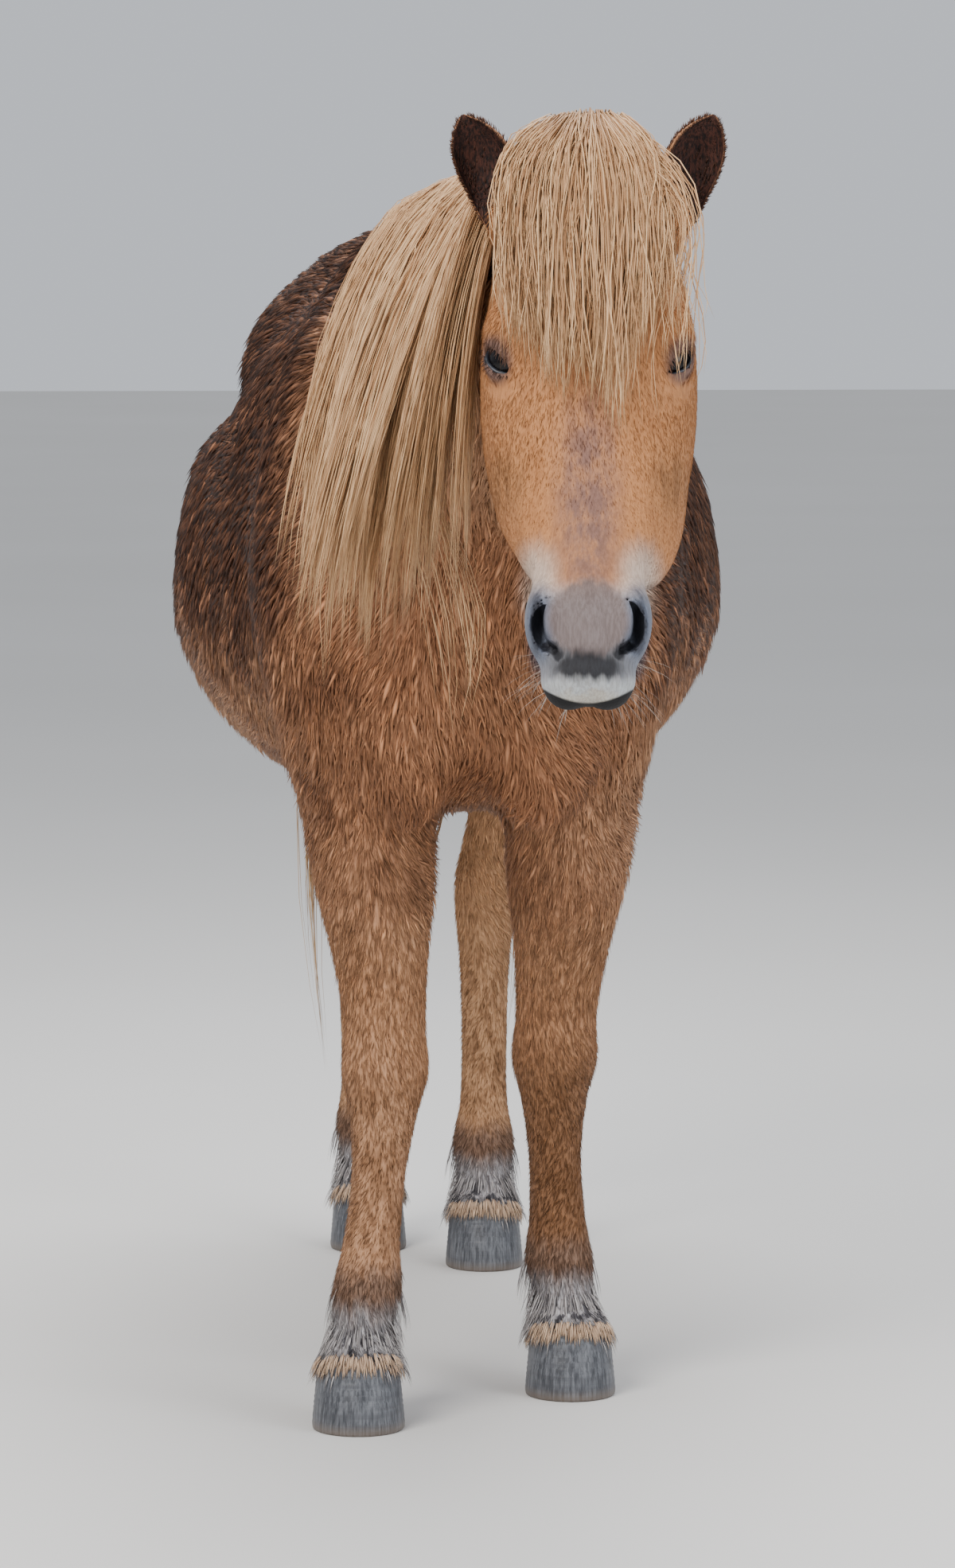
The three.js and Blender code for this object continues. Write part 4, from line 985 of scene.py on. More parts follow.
# Sizes of the tufts: one for the body, then along the face, then up the lower legs
FACE_PLACES = (-40, 60, 150, 300, 440, 500, 580)
LEG_HEIGHTS = (60, 100, 150, 200, 350, 420, 600, 760)
TUFT_SPACING = (5.3, (4.2, 3.4, 3.0, 2.7, 2.3, 2.3, 2.4), (2.9, 3.0, 3.0, 3.1, 3.1, 3.3, 4.0, 5.0))
TUFT_LENGTH = (34, (26, 20, 16, 13, 8, 4, 3), (24, 26, 20, 14, 14, 17, 24, 30))
TUFT_WIDTH = (3.5, (2.8, 2.2, 1.9, 1.7, 1.3, 0.9, 0.8), (2.0, 2.1, 2.0, 1.9, 1.9, 2.1, 2.7, 3.3))
TUFT_LIFT = (0.3, [0.16] * 7, [0.25] * 8)


def tuft_size(p, sizes):
    on_body, on_face, on_legs = sizes
    head = head_share(p)
    low = (1 - smooth(p[:, 2], 600, 780)) * (1 - head)
    return (
        (1 - head - low) * on_body
        + head * np.interp(head_coordinates(p)[2], FACE_PLACES, on_face)
        + low * np.interp(p[:, 2], LEG_HEIGHTS, on_legs)
    )


def is_bare(p):
    """Where no short coat grows: lips, eyes, nostrils, mouth, hooves and the tail below the dock."""
    along = head_coordinates(p)[2]
    on_face = head_share(p) > 0.5
    bare = (along > 560) & on_face
    for eye in EYES.values():
        rim, ahead, away = almond(p, eye, 5)
        bare |= (rim < 0) & (ahead > 0) & (away < 40)
    for hole, _ in nostril_parts:
        bare |= hole(p) < 2.5
    bare |= (np.abs((p - MOUTH) @ mouth_up) < 7) & (along > 455) & on_face
    for foot in CORONETS.values():
        near = np.linalg.norm(p[:, :2] - foot[:2], axis=1) < 90
        bare |= near & ((p - foot) @ CORONET_NORMAL < 2)
    return bare | ((p[:, 1] > 840) & (p[:, 2] < 930))


def scattered(points, quads):
    """Roots and normals of the short coat, at random places as dense as its spacing asks."""
    triangles = np.concatenate([quads[:, [0, 1, 2]], quads[:, [0, 2, 3]]])
    a, b, c = (points[triangles[:, i]] for i in range(3))
    normal = np.cross(b - a, c - a)
    area = np.linalg.norm(normal, axis=1) / 2
    middle = (a + b + c) / 3
    expected = area / tuft_size(middle, TUFT_SPACING) ** 2 * (area > 1e-6)
    expected[is_bare(middle)] = 0
    order = np.lexsort((middle[:, 2].round(-2), middle[:, 1].round(-2)))
    total = np.cumsum(expected[order])
    marks = np.arange(int(total[-1])) + RNG.random(int(total[-1]))
    pick = order[np.minimum(np.searchsorted(total, marks), len(order) - 1)]
    s, t = np.sqrt(RNG.random(len(pick)))[:, None], RNG.random(len(pick))[:, None]
    return a[pick] * (1 - s) + b[pick] * (s * (1 - t)) + c[pick] * (s * t), unit(normal[pick])


roots, normals = scattered(skin_points, skin_quads)


def wetness(p):
    reach = p[:, 1] + 0.9 * np.abs(p[:, 0])
    return smooth(reach, -390, -260) * smooth(p[:, 2], 800, 950) * (1 - head_share(p))


def add_coat(number, chosen, bold):
    """Tufts that lie along the body: fine straight ones, or bold ones that bend over."""
    root, normal = roots[chosen], normals[chosen]
    n, wet = len(root), wetness(root)
    way = lie_of_coat(root, normal)
    length, width = tuft_size(root, TUFT_LENGTH), tuft_size(root, TUFT_WIDTH)
    if bold:
        length = length * RNG.uniform(1.0, 1.5, n)
        width = width * RNG.uniform(1.2, 1.9, n) * (1 + 0.25 * wet)
        tone = tones(0.5 - 0.28 * wet, 0.2, n)
    else:
        length = length * RNG.uniform(0.7, 1.15, n)
        width = width * RNG.uniform(0.75, 1.25, n)
        tone = tones(0.5, 0.22, n)
    lift = tuft_size(root, TUFT_LIFT) * RNG.uniform(0.45, 1.3, n)
    start = unit(way + normal * np.tan(lift)[:, None])
    end = unit(way + normal * (0.04 if bold else 0.2) + np.array([0, 0, -0.1]))
    taper = (0.8, 1.0) if bold else (1.0,)
    tufts = Hairs()
    tufts.grow(
        root, normal * 1.2, start, end, length, width, taper, np.cross(way, normal), normal, 0.3, tone
    )
    tufts.piece(f"coat_{number}", COAT)


# The long wet clumps of the back and sides, then the fine coat in pieces of one size
BOLD_TUFTS, PIECE_TUFTS = 19000, 49000
weight = (0.1 + 0.9 * wetness(roots)) * (1 - head_share(roots)) * smooth(roots[:, 2], 500, 700)
bold_roots = np.nonzero(RNG.random(len(roots)) < 0.3 * weight)[0][:BOLD_TUFTS]
add_coat(1, bold_roots, True)
fine_roots = np.setdiff1d(np.arange(len(roots)), bold_roots)
for index, first in enumerate(range(0, len(fine_roots), PIECE_TUFTS)):
    add_coat(index + 2, fine_roots[first : first + PIECE_TUFTS], False)

# Long hair: guides fall over the body, and strands gather round each guide
EAR_LENGTH = 122
# Root of each ear, the ways up, forward and across it, and its side
EARS = {}
for name, s in (("right", -1), ("left", 1)):
    rise = unit((s * 0.34, 0.12, 1))
    facing = np.array([s * 0.3, -1.0, 0])
    facing = unit(facing - rise * (facing @ rise))
    EARS[name] = (on_head(s * 84, -70, 56), rise, facing, np.cross(rise, facing), s)


def under_hair(p):
    """The body and both ears, which the long hair lies round."""
    f = body_field(p)
    for base, rise, *_ in EARS.values():
        d = p - base
        t = np.clip(d @ rise, 30, EAR_LENGTH)
        f = np.minimum(f, np.linalg.norm(d - t[:, None] * rise, axis=1) - 18 - 16 * t / EAR_LENGTH)
    return f


def fall(root, heading, length, clear, course, steps, field=under_hair, hold=0.5):
    """Guides that leave their roots, hang along course and stay clear of the field."""
    out = gradient(field, root)
    clear = clear + np.zeros(len(root))
    way, normal = unit(heading), out
    p = root + out * (clear * 0.4)[:, None]
    path, normals = [root - out * 5, p], [out, out]
    for i in range(1, steps + 1):
        lift = clear * min(1, i / 2)
        pull = np.clip((field(p) - lift) / 60, 0, hold)
        wanted = unit(course(i / steps)) - gradient(field, p) * pull[:, None]
        way = unit(way * 0.4 + wanted * 0.6)
        p = p + way * (length / steps)[:, None]
        for _ in range(3):
            p = p + gradient(field, p) * np.maximum(lift - field(p), 0)[:, None]
        normal = unit(normal + gradient(field, p) * 1.2)
        path.append(p)
        normals.append(normal)
    return np.stack(path, 1), np.stack(normals, 1)


def strands(name, fallen, count, spread, deep, width, rings, wave, tips=0.3, shortest=0.62, clear_of=None):
    """Strands round each guide, drawn together towards its tip, with their roots."""
    path, normals = fallen
    guides, stations = path.shape[:2]
    n = guides * count
    which = np.repeat(np.arange(guides), count)
    reach = RNG.uniform(shortest, 1.0, n) ** 0.7
    way = np.linspace(0, 1, rings + 1)
    at = way[None] * reach[:, None] * (stations - 1)
    i = np.minimum(at.astype(int), stations - 2)
    f = (at - i)[..., None]
    g = which[:, None]
    p = path[g, i] * (1 - f) + path[g, i + 1] * f
    lift = unit(normals[g, i] * (1 - f) + normals[g, i + 1] * f)
    tangent = unit(np.gradient(p, axis=1))
    across = unit(np.cross(tangent, lift))
    lift = np.cross(across, tangent)
    gather = np.interp(way, (0, 0.25, 0.7, 1), (0.55, 1, 0.85, tips))[None, :, None]
    u = RNG.uniform(-1, 1, n)[:, None, None] * spread / 2
    v = RNG.uniform(-1, 1, n)[:, None, None] * deep / 2
    p = p + across * u * gather + lift * v * gather
    phase = RNG.random((n, 2, 1)) * 2 * math.pi
    swing = RNG.uniform(0.3, 1, (n, 1)) * wave * way[None]
    p = p + across * (swing * np.sin(phase[:, 0] + way[None] * RNG.uniform(4, 9, (n, 1))))[..., None]
    p = p + lift * (0.5 * swing * np.sin(phase[:, 1] + way[None] * 6))[..., None]
    if clear_of is not None:
        flat = p[:, 1:].reshape(-1, 3)
        flat = flat + gradient(clear_of, flat) * np.maximum(1.5 - clear_of(flat), 0)[:, None]
        p[:, 1:] = flat.reshape(p[:, 1:].shape)
    size = width * RNG.uniform(0.6, 1.3, n)
    taper = np.interp(way[:-1], (0, 0.15, 0.7, 1), (0.8, 1, 0.8, 0.3))
    widths = size[:, None] * taper[None]
    tone = np.clip(RNG.normal(0.55, 0.27, n) + RNG.normal(0, 0.12, guides)[which], 0, 1)
    parts = ribbons(p, across[:, :-1], lift[:, :-1], widths, widths * 0.35, tone)
    on_tail = name.startswith("tail")
    add_hair(name, parts, p[:, 0], TAIL if on_tail else MANE)


def crest_at(place):
    rows = rows_at(NECK_ROWS, place)
    spot = NECK_BASE + place[:, None] * NECK_AXIS + NECK_UP * rows[:, 4:5] + vectors(rows[:, 1], 0, 0)
    return onto(body_field, spot)


# Mane on the right side of the neck
MANE_GUIDES = 120
index = np.arange(MANE_GUIDES)
share, layer = np.linspace(0, 1, MANE_GUIDES), index % 4
crest = crest_at(NECK_LENGTH + 20 + (150 - NECK_LENGTH - 20) * share)
drift = -0.04 - 0.62 * share + RNG.uniform(-0.08, 0.08, MANE_GUIDES)
outward = (0.06 + layer * 0.05 + RNG.uniform(0, 0.12, MANE_GUIDES)) * (1.1 - 0.7 * share)
mane_length = 600 * np.where(share > 0.6, 1.02 - 0.3 * (share - 0.6) / 0.4, 0.84 + 0.18 * share / 0.6)
mane_length = mane_length * RNG.uniform(0.88, 1.12, MANE_GUIDES)
heading = vectors(-1, -0.1, 0.1 + layer * 0.1)


def mane_course(way):
    sideways = -outward - (0.1 + 0.6 * share) * (1 - 1.02 * way)
    return vectors(sideways, drift * (1 - 0.5 * way) + 0.1 * np.sin(way * 6 + index), -1)


def loose_mane_course(way):
    return vectors(-0.08, -0.24 + 0.1 * np.sin(way * 7 + np.arange(6)), -1)


fallen = fall(crest, heading, mane_length, 5.0 + layer * 7, mane_course, 9, hold=0.1)
strands("mane", fallen, 30, 50, 11, 2.5, 9, 8, tips=0.15, clear_of=body_field)
fallen = fall(crest[44:74:5], heading[44:74:5], RNG.uniform(680, 800, 6), 34, loose_mane_course, 10)
strands("mane_loose", fallen, 7, 40, 14, 1.8, 12, 16, shortest=0.8)

# A few strands of the mane on the left side of the neck
LEFT_GUIDES = 9
left_roots = crest_at(NECK_LENGTH - np.linspace(-20, 120, LEFT_GUIDES)) + np.array([24.0, 0, 0])
left_length = RNG.uniform(210, 330, LEFT_GUIDES)
fallen = fall(onto(body_field, left_roots), (1.0, 0, 0.2), left_length, 8, lambda way: (0.25, 0.1, -1.0), 7)
strands("mane_left", fallen, 16, 26, 6, 2.6, 8, 9, clear_of=body_field)

# Forelock: rows of hair from the poll, falling over the forehead and round the ears
FORELOCK_GUIDES = 126
index = np.arange(FORELOCK_GUIDES)
place, row = (index * 47 % FORELOCK_GUIDES) / (FORELOCK_GUIDES - 1) * 2 - 1, index % 6
root_along = 22 - row * 18.0
forelock_roots = onto(body_field, on_head(place * np.where(place < 0, 54, 48), 10, root_along))
fan = place * np.interp(place, (-1, -0.6, 0, 1), (1.6, 1.2, 1.1, 0.95))
fan = fan + RNG.uniform(-0.1, 0.1, FORELOCK_GUIDES)
forelock_length = np.interp(place, (-1, -0.5, 0, 0.35, 0.55, 1), (190, 240, 268, 296, 205, 165))
forelock_length = forelock_length * RNG.uniform(0.8, 1.12, FORELOCK_GUIDES) + 22 - root_along


def forelock_course(way):
    return head_way(0, 0, 1) + SIDE * (fan * max(1.1 - way * 2.9, -0.06))[:, None]


heading = head_way(place * 0.6, 0.9, 0.5)
fallen = fall(forelock_roots, heading, forelock_length, 6.0 + row * 4.6, forelock_course, 10)
strands("forelock", fallen, 18, 25, 9, 1.9, 8, 13, tips=0.12, shortest=0.4, clear_of=body_field)

# Loose strands that hang beside the left eye
LOOSE_GUIDES = 9
index = np.arange(LOOSE_GUIDES)
loose_roots = onto(body_field, on_head(44 + 2 * index, 0, 16 - 5 * index))


def loose_course(way):
    return head_way(1.1 * max(1 - way * 2.6, 0) + 0.25 * np.sin(way * 6 + index), 0.1, 1)


fallen = fall(
    loose_roots, head_way(0.9, 0.8, 0.3), RNG.uniform(250, 360, LOOSE_GUIDES), 22, loose_course, 10
)
strands("forelock_loose", fallen, 5, 16, 12, 1.5, 11, 14, tips=1.0)

# Tail round the dock
TAIL_GUIDES = 56
index = np.arange(TAIL_GUIDES)
angle = (index * 23 % TAIL_GUIDES) / TAIL_GUIDES * 2 * math.pi
height = 1262 + (930 - 1262) * (index / (TAIL_GUIDES - 1)) ** 1.4
sideways = vectors(np.cos(angle), np.sin(angle) * 0.7 + 0.3, 0.1)
on_dock = vectors(0, np.interp(height, DOCK[::-1, 2], DOCK[::-1, 1]), height)
tail_roots = onto(body_field, on_dock + unit(sideways) * 34)
tail_length = np.maximum(tail_roots[:, 2] - 150, 500) * RNG.uniform(0.82, 1.0, TAIL_GUIDES)


def tail_course(way):
    return vectors(sideways[:, 0] * 0.16 * (0.8 - way), 0.03 + 0.05 * np.sin(way * 4 + index), -1)


heading = sideways + np.array([0, 0, -0.8])
fallen = fall(tail_roots, heading, tail_length, 8.0 + index % 3 * 9, tail_course, 10, body_field)
strands("tail_strands", fallen, 27, 44, 26, 3.2, 10, 12, tips=0.2)

# Hair behind the fetlocks, and hair that falls over each coronet: whether it goes all round,
# count, heights, lean back, push out at root and tip, lengths and tone
LEG_HAIR = (
    (False, 380, (100, 165), 0.12, 0.42, 0.1, (34, 62), 0.4),
    (True, 460, (84, 125), 0.05, 0.8, 0.3, (26, 46), 0.6),
)
HAIR_TAPER = (0.8, 1.0, 0.6)
feathers = Hairs()
for name, joints in JOINTS.items():
    for all_round, count, heights, lean, out_at_root, out_at_tip, lengths, tone in LEG_HAIR:
        height = RNG.uniform(*heights, count)
        spin = RNG.uniform(-math.pi, math.pi, count) if all_round else RNG.normal(0, 0.8, count)
        middle = rows_at(joints, height)
        out = vectors(np.sin(spin), np.cos(spin), 0)
        spot = onto(skin_field, vectors(middle[:, 1], middle[:, 2], height) + out * 44)
        if all_round:
            spot = spot[(spot - CORONETS[name]) @ CORONET_NORMAL > 2]
        normal, n = gradient(body_field, spot), len(spot)
        down = np.array([0.0, lean, -1.0])
        start, end = unit(normal * out_at_root + down), unit(down + normal * out_at_tip)
        across = unit(np.cross(down, normal))
        feathers.grow(
            spot, normal * 1.5, start, end, RNG.uniform(*lengths, n), RNG.uniform(1.4, 2.5, n),
            HAIR_TAPER, across, normal, 0.35, tones(tone, 0.28, n),
        )
feathers.piece("feathers", FEATHER)


def hoof_size(name):
    return 1 if name.startswith("fore") else 0.95


# Fringe over each coronet, with its roots evenly round it
FRINGE_HAIRS = 520
GOLDEN_ANGLE = math.pi * (3 - math.sqrt(5))
fringe = Hairs()
for name, foot in CORONETS.items():
    radius = 45.5 * hoof_size(name)
    spin = np.arange(FRINGE_HAIRS) * GOLDEN_ANGLE
    out = vectors(np.cos(spin), -np.sin(spin), 0)
    spot = foot + out * radius
    spot[:, 2] += RNG.uniform(-1, 12, FRINGE_HAIRS) - out[:, 1] * radius * HOOF_TILT
    down = vectors(0, RNG.normal(0.05, 0.05, FRINGE_HAIRS), -1)
    start = unit(down + out * RNG.uniform(0.75, 1.05, FRINGE_HAIRS)[:, None])
    fringe.grow(
        spot, 0, start, unit(down + out * 0.1), RNG.uniform(11, 25, FRINGE_HAIRS),
        RNG.uniform(1.2, 2.4, FRINGE_HAIRS), HAIR_TAPER, unit(np.cross(down, out)), out, 0.35,
        tones(0.6, 0.28, FRINGE_HAIRS),
    )
fringe.piece("coronet_fringe", FRINGE)

# Ears: cupped leaves, with hair on the back, in the cup and round the rim.
# Height, half width and depth of the cup
EAR_PROFILE = [
    [-20, 19, 0],
    [4, 24, 0],
    [26, 28, 0.1],
    [42, 30, 0.85],
    [64, 32, 1],
    [88, 29, 0.9],
    [104, 21, 0.75],
    [115, 11, 0.6],
    [EAR_LENGTH, 2.5, 0.3],
]
EAR_OPEN = 1.9
EAR_COLUMNS = 25


def ear_spot(ear, height, sideways, forward):
    base, rise, facing, across, s = ear
    curl = np.array([s * 9.0, 0, 0]) * (np.maximum(height, 0) / EAR_LENGTH)[..., None] ** 2
    return base + rise * height[..., None] + curl + across * sideways[..., None] + facing * forward[..., None]


def ear_rings(ear):
    """Rings up the ear, each round the back and then through the cup, and their heights."""
    height = np.concatenate([np.linspace(-20, 100, 30), np.linspace(104, EAR_LENGTH, 9)])
    profile = rows_at(EAR_PROFILE, height)
    half, cup = profile[:, 1:2] - 0.6, np.clip(profile[:, 2:3], 0, 1)
    rim = 0.5 * smooth(height, 20, 50)[:, None] + 2.2
    turn = np.linspace(-EAR_OPEN, EAR_OPEN, EAR_COLUMNS)[None]
    tall = np.broadcast_to(height[:, None], (len(height), EAR_COLUMNS))
    outer = ear_spot(ear, tall, np.sin(turn) * half, -np.cos(turn) * half * 0.8)
    back = np.linspace(EAR_OPEN - 0.1, 0.1 - EAR_OPEN, EAR_COLUMNS)[None]
    reach = np.maximum(half - rim, half * 0.5)
    mouth = -math.cos(EAR_OPEN) * half * 0.8
    forward = mouth * (1 - cup) - np.cos(back) * reach * 0.8 * cup
    inner = ear_spot(ear, tall, np.sin(back) * reach, forward)
    return np.concatenate([outer, inner], axis=1), height


def ring_faces(rings, across):
    first = np.arange(rings - 1)[:, None] * across
    c = np.arange(across)[None]
    after = (c + 1) % across
    corners = [first + c, first + after, first + across + after, first + across + c]
    return np.stack(corners, axis=2).reshape(-1, 4)


def facing_out(points, faces, index, middle):
    """The faces, all turned over if the one at index faces the middle."""
    a, b, c = points[faces[index][:3]]
    return faces[:, ::-1] if np.dot(np.cross(b - a, c - a), a - middle) < 0 else faces


def capped(rings, ends):
    """Points and triangles of a tube of rings with a point at each end."""
    count, around = rings.shape[:2]
    quads = ring_faces(count, around)
    c = np.arange(around)
    after, last = (c + 1) % around, (count - 1) * around
    points = np.concatenate([rings.reshape(-1, 3), ends])
    low = np.column_stack([np.full(around, len(points) - 2), after, c])
    high = np.column_stack([np.full(around, len(points) - 1), last + c, last + after])
    triangles = np.concatenate([quads[:, [0, 1, 2]], quads[:, [0, 2, 3]], low, high])
    return points, facing_out(points, triangles, len(quads) // 2, points.mean(0))


def ear_material():
    material, g = new_material("ear")
    cup = g.node("ShaderNodeAttribute", out="Fac", attribute_name="cup")
    hairs = g.hairs(0.25, 380.0)
    back = g.mix(g.ease(hairs, 0.35, 0.65), linear(120, 78, 52), linear(168, 118, 80))
    front = g.mix(g.ease(hairs, 0.35, 0.7), linear(24, 14, 12), linear(74, 42, 32))
    shade(g, g.mix(cup, back, front), 0.8, normal=g.bump(0.4, 0.002, hairs))
    return material


EAR = ear_material()
for name, ear in EARS.items():
    rings = ear_rings(ear)[0]
    points, half_way = rings.reshape(-1, 3), len(rings) // 2
    faces = ring_faces(len(rings), rings.shape[1])
    faces = facing_out(points, faces, len(faces) // 2, rings[half_way].mean(0))
    piece = make_piece(f"ear_{name}_cup", points, faces, EAR, [f"ear_{name}"])
    one_ring = np.repeat([0.0, 1.0], EAR_COLUMNS)
    one_ring[[0, EAR_COLUMNS - 1]] = 0.3
    cup = piece.data.attributes.new("cup", "FLOAT", "POINT")
    cup.data.foreach_set("value", np.tile(one_ring, len(rings)).astype(np.float32))


def on_ear(rings, at, column):
    """Places between the rings, and the ring below each."""
    i = at.astype(int)
    f = (at - i)[:, None]
    return rings[i, column] * (1 - f) + rings[i + 1, column] * f, i


RIM_HAIRS = 260
ear_hair = Hairs()
for ear in EARS.values():
    base, rise, facing, across, s = ear
    rings, heights = ear_rings(ear)
    for edge, sign in ((0, -1), (EAR_COLUMNS - 1, 1)):
        spot, i = on_ear(rings, RNG.uniform(7, 37, RIM_HAIRS), edge)
        jitter = RNG.normal(0, 0.25, (RIM_HAIRS, 3))
        start = unit(across * sign * 0.7 + rise * 0.35 + facing * 0.45 + jitter)
        shorter = np.interp(heights[i], (0, 40, 100, 122), (1.3, 1.1, 0.9, 0.6))
        normal = unit(np.cross(start, unit(np.cross(start, facing) + 1e-6)))
        ear_hair.grow(
            spot, start * 1.5, start, unit(start + rise * 0.9), RNG.uniform(2.5, 6, RIM_HAIRS) * shorter,
            RNG.uniform(0.7, 1.5, RIM_HAIRS), (1.0, 0.7), unit(np.cross(start, normal)), normal, 0.4,
            tones(0.5, 0.3, RIM_HAIRS),
        )
    # Hair on the back of the ear, then inside its cup
    for count, columns, side, push, longest, tone in (
        (900, (2, 23), 1, 0.2, 8, 0.75),
        (420, (28, 47), -1, 0.5, 9, 0.3),
    ):
        spot, i = on_ear(rings, RNG.uniform(4, 36, count), RNG.integers(*columns, count))
        normal = unit(spot - rings[i].mean(axis=1)) * side
        way = unit(rise + RNG.normal(0, 0.2, (count, 3)))
        ear_hair.grow(
            spot, normal * 0.6, unit(way + normal * push), way, RNG.uniform(5, longest, count),
            RNG.uniform(1.2, 2.2, count), (1.0, 0.8), unit(np.cross(way, normal)), normal, 0.4,
            tones(tone, 0.2, count),
        )
ear_hair.piece("ear_fringe", DARK_HAIR, "ear_coat")

# Whiskers round the lips and chin
WHISKERS = 110
spin, down_face = RNG.uniform(-1, 1, WHISKERS), RNG.uniform(-1, 1, WHISKERS)
side = np.sign(spin) * np.abs(spin) ** 0.4 * 46
spot = onto(skin_field, on_head(side, -100 - 40 * np.abs(down_face), 535 + 28 * down_face))
normal = gradient(body_field, spot)
start = unit(normal + RNG.normal(0, 0.3, (WHISKERS, 3)))
whiskers = Hairs()
whiskers.grow(
    spot, normal, start, unit(start + np.array([0, 0, -0.8])), RNG.uniform(26, 72, WHISKERS),
    np.full(WHISKERS, 1.1), (1.0, 0.9, 0.7, 0.5), unit(np.cross(start, np.array([0.1, 0.2, 1.0]))),
    normal, 0.5, RNG.random(WHISKERS),
)
whiskers.piece("whiskers", WHISKER)


# Eyes, lids and lashes
def eye_material():
    material, g = new_material("eyeball")
    cloud = g.noise(g.place(), 60.0, 3.0)
    colour = g.mix(g.ease(cloud, 0.3, 0.7), linear(6, 5, 8), linear(16, 13, 14))
    shade(g, colour, 0.1, specular=0.22)
    return material


def lid_material():
    material, g = new_material("lid")
    grain = g.noise(g.place(), 260.0, 3.0, 0.6)
    colour = g.mix(g.ease(grain, 0.35, 0.65), linear(20, 21, 27), linear(48, 52, 62))
    shade(g, colour, 0.42, specular=0.45, normal=g.bump(0.3, 0.001, grain))
    return material


def before_eye(eye, u, v, radius):
    """Points u along the lids and v over their middle, on a ball round the eye's middle."""
    centre, gaze, over, along = eye
    depth = np.sqrt(np.maximum(radius**2 - u**2 - v**2, 16))
    return centre + along * u[:, None] + over * v[:, None] + gaze * depth[:, None]


EYEBALL, LID = eye_material(), lid_material()
LASHES = 44
lid_points, lid_faces, lashes = [], [], Hairs()
for name, eye in EYES.items():
    centre, gaze, over, along = eye
    lat, lon = np.linspace(0, math.pi, 25)[1:-1, None], np.linspace(0, 2 * math.pi, 41)[:-1]
    ball = vectors(np.sin(lat) * np.cos(lon), np.sin(lat) * np.sin(lon), np.cos(lat))
    radius = EYE_RADIUS - 0.3
    rings = ball @ np.array([along, over, gaze]) * radius + centre
    points, triangles = capped(rings, np.array([gaze, -gaze]) * radius + centre)
    make_piece(f"eyeball_{name}", points, triangles, EYEBALL, [f"eye_{name}"])

    # The rim of both lids, and the fold above the upper one
    t, around = np.linspace(0, 2 * math.pi, 65)[:-1], np.linspace(0, 2 * math.pi, 11)[:-1]
    rim = 2.9 * (0.75 + 0.45 * np.clip(np.sin(t) * 1.2 + 0.1, 0, 1))
    fold = 2.6 * np.clip(np.sin(t) * 1.3 - 0.1, 0.05, 1)
    for grow, size, raised in ((1.0, rim, 1.2), (7.5, fold, 1.6)):
        u = np.cos(t) * (ALMOND[0] + grow)
        v = np.sin(t) * (ALMOND[1] + grow) * np.where(np.sin(t) > 0, 1.0, 0.92)
        spine = before_eye(eye, u, v, EYE_RADIUS + raised)
        radial = unit(spine - centre)
        outward = unit(np.cross(np.roll(spine, -1, 0) - np.roll(spine, 1, 0), radial))
        section = (
            spine[:, None]
            + outward[:, None] * (size[:, None] * np.cos(around))[..., None]
            + radial[:, None] * (size[:, None] * 0.8 * np.sin(around))[..., None]
        ).reshape(-1, 3)
        quads = ring_faces(len(t) + 1, len(around)) % len(section)
        first = sum(len(part) for part in lid_points)
        lid_faces.append(facing_out(section, quads, 20, spine[2]) + first)
        lid_points.append(section)

    t = RNG.uniform(0.12, math.pi - 0.12, LASHES)
    u, v = np.cos(t) * ALMOND[0], np.sin(t) * ALMOND[1]
    spot = before_eye(eye, u, v, EYE_RADIUS + 3)
    start = unit(gaze + over * 0.3 + along * (u / 30)[:, None] + RNG.normal(0, 0.12, (LASHES, 3)))
    flat = unit(np.cross(start, over))
    lashes.grow(
        spot, start * 1.5, start, unit(start + np.array([0, 0, -1.2])), RNG.uniform(9, 17, LASHES),
        np.full(LASHES, 0.8), (1.0, 0.8, 0.5), flat, np.cross(flat, start), 0.5, np.full(LASHES, 0.2),
    )
make_piece("eyelids", np.concatenate(lid_points), np.concatenate(lid_faces), LID)
lashes.piece("lashes", DARK_HAIR)


# Hooves: smooth walls with growth rings
def hoof_material():
    material, g = new_material("hoof")
    place = g.place()
    lines_up = g.hairs(0.04, 330.0, 4.0, 0.65)
    rings_round = g.noise(g.vector("MULTIPLY", place, (0.06, 0.06, 1.0)), 150.0, 2.0)
    colour = g.mix(g.ease(lines_up, 0.3, 0.7), linear(48, 50, 55), linear(104, 106, 111))
    colour = g.tint(colour, g.ease(rings_round, 0.4, 0.7, 0.0, 0.35), (58, 59, 64))
    colour = g.tint(colour, g.ease(g.split(place)[2], 0.016, 0.0, 0.0, 0.5), (120, 104, 88))
    height = g.plus(g.times(lines_up, 0.5), rings_round)
    shade(g, colour, 0.42, specular=0.4, normal=g.bump(0.35, 0.0015, height))
    return material


HOOF = hoof_material()
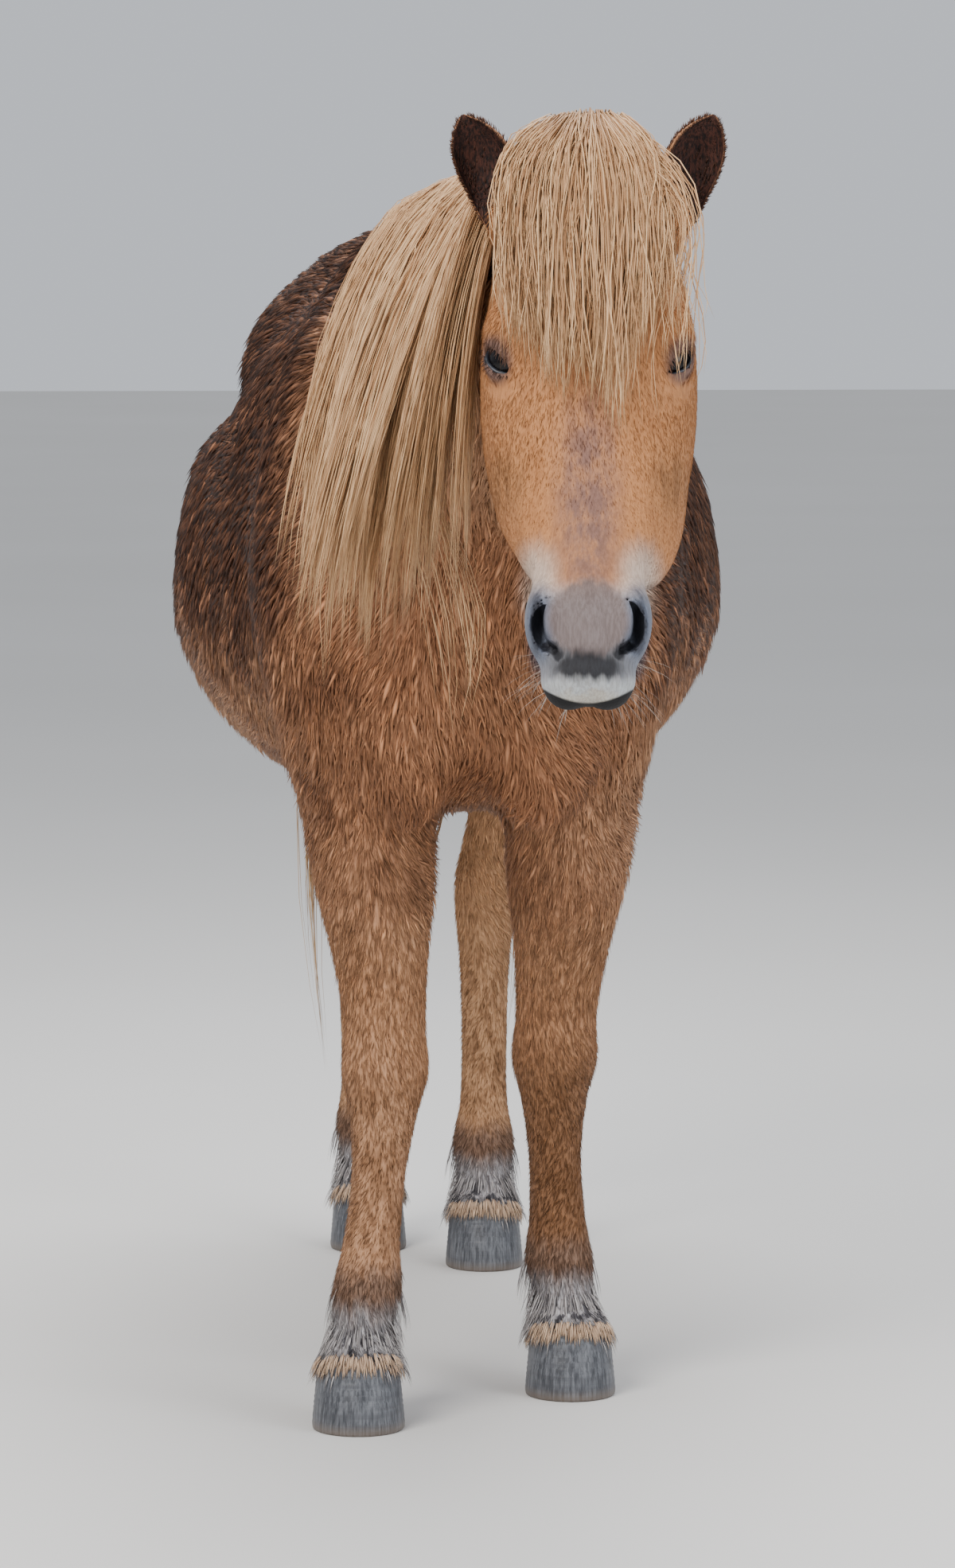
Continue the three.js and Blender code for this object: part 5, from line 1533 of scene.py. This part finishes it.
# Height, half width, half length and shift forward
HOOF_ROWS = [[0, 52, 57, 6], [5, 53, 58, 6], [24, 51.4, 55.2, 4.2], [46, 49.4, 51.4, 2.2], [70, 47, 47, 0]]
for name, foot in CORONETS.items():
    level = np.concatenate([[0, 1.2, 3], np.linspace(5, 70, 22)])
    rows = rows_at(HOOF_ROWS, level)
    spin = np.linspace(0, 2 * math.pi, 65)[:-1]
    ripple = 0.35 * np.sin(level * 0.9) * smooth(level, 4, 12)
    wide, deep = [(rows[:, i] + ripple) * hoof_size(name) for i in (1, 2)]
    wide[0], deep[0] = wide[0] - 1.4, deep[0] - 1.4
    y = -np.sin(spin) * deep[:, None] - rows[:, 3:4]
    z = level[:, None] - y * HOOF_TILT * smooth(level, 2, 22)[:, None]
    rings = vectors(foot[0] + np.cos(spin) * wide[:, None], foot[1] + y, z)
    points, triangles = capped(rings, [rings[0].mean(0), rings[-1].mean(0)])
    make_piece(f"hoof_wall_{name}", points, triangles, HOOF, [f"hoof_{name}"])


# Floor and light
def floor_material():
    material, g = new_material("floor")
    cloud = g.noise(g.place(), 0.6)
    shade(g, g.mix(cloud, linear(214, 212, 208), linear(222, 220, 217)), 0.9, specular=0.1)
    return material


floor_mesh = bpy.data.meshes.new("floor")
floor_mesh.from_pydata([(-30, -30, 0), (30, -30, 0), (30, 30, 0), (-30, 30, 0)], [], [(0, 1, 2, 3)])
floor_mesh.materials.append(floor_material())
floor = bpy.data.objects.new("floor", floor_mesh)
bpy.context.scene.collection.objects.link(floor)

world = bpy.data.worlds.new("studio")
bpy.context.scene.world = world
world.use_nodes = True
sky = world.node_tree.nodes["Background"]
sky.inputs["Color"].default_value = (0.86, 0.9, 0.97, 1)
sky.inputs["Strength"].default_value = 0.75


def area_light(name, place, target, size, power, colour):
    data = bpy.data.lights.new(name, "AREA")
    data.shape = "DISK"
    data.size = size
    data.energy = power
    data.color = colour
    lamp = bpy.data.objects.new(name, data)
    bpy.context.scene.collection.objects.link(lamp)
    lamp.location = place
    lamp.rotation_euler = (Vector(target) - Vector(place)).to_track_quat("-Z", "Y").to_euler()


area_light("key", (-2.6, -4.2, 4.2), (0, -0.4, 0.9), 3.2, 330, (1.0, 0.97, 0.93))
area_light("fill", (3.4, -3.6, 2.2), (0, -0.4, 0.8), 3.0, 130, (0.93, 0.96, 1.0))
area_light("top", (0.4, 1.6, 4.8), (0, 0.1, 1.0), 3.0, 200, (0.97, 0.98, 1.0))
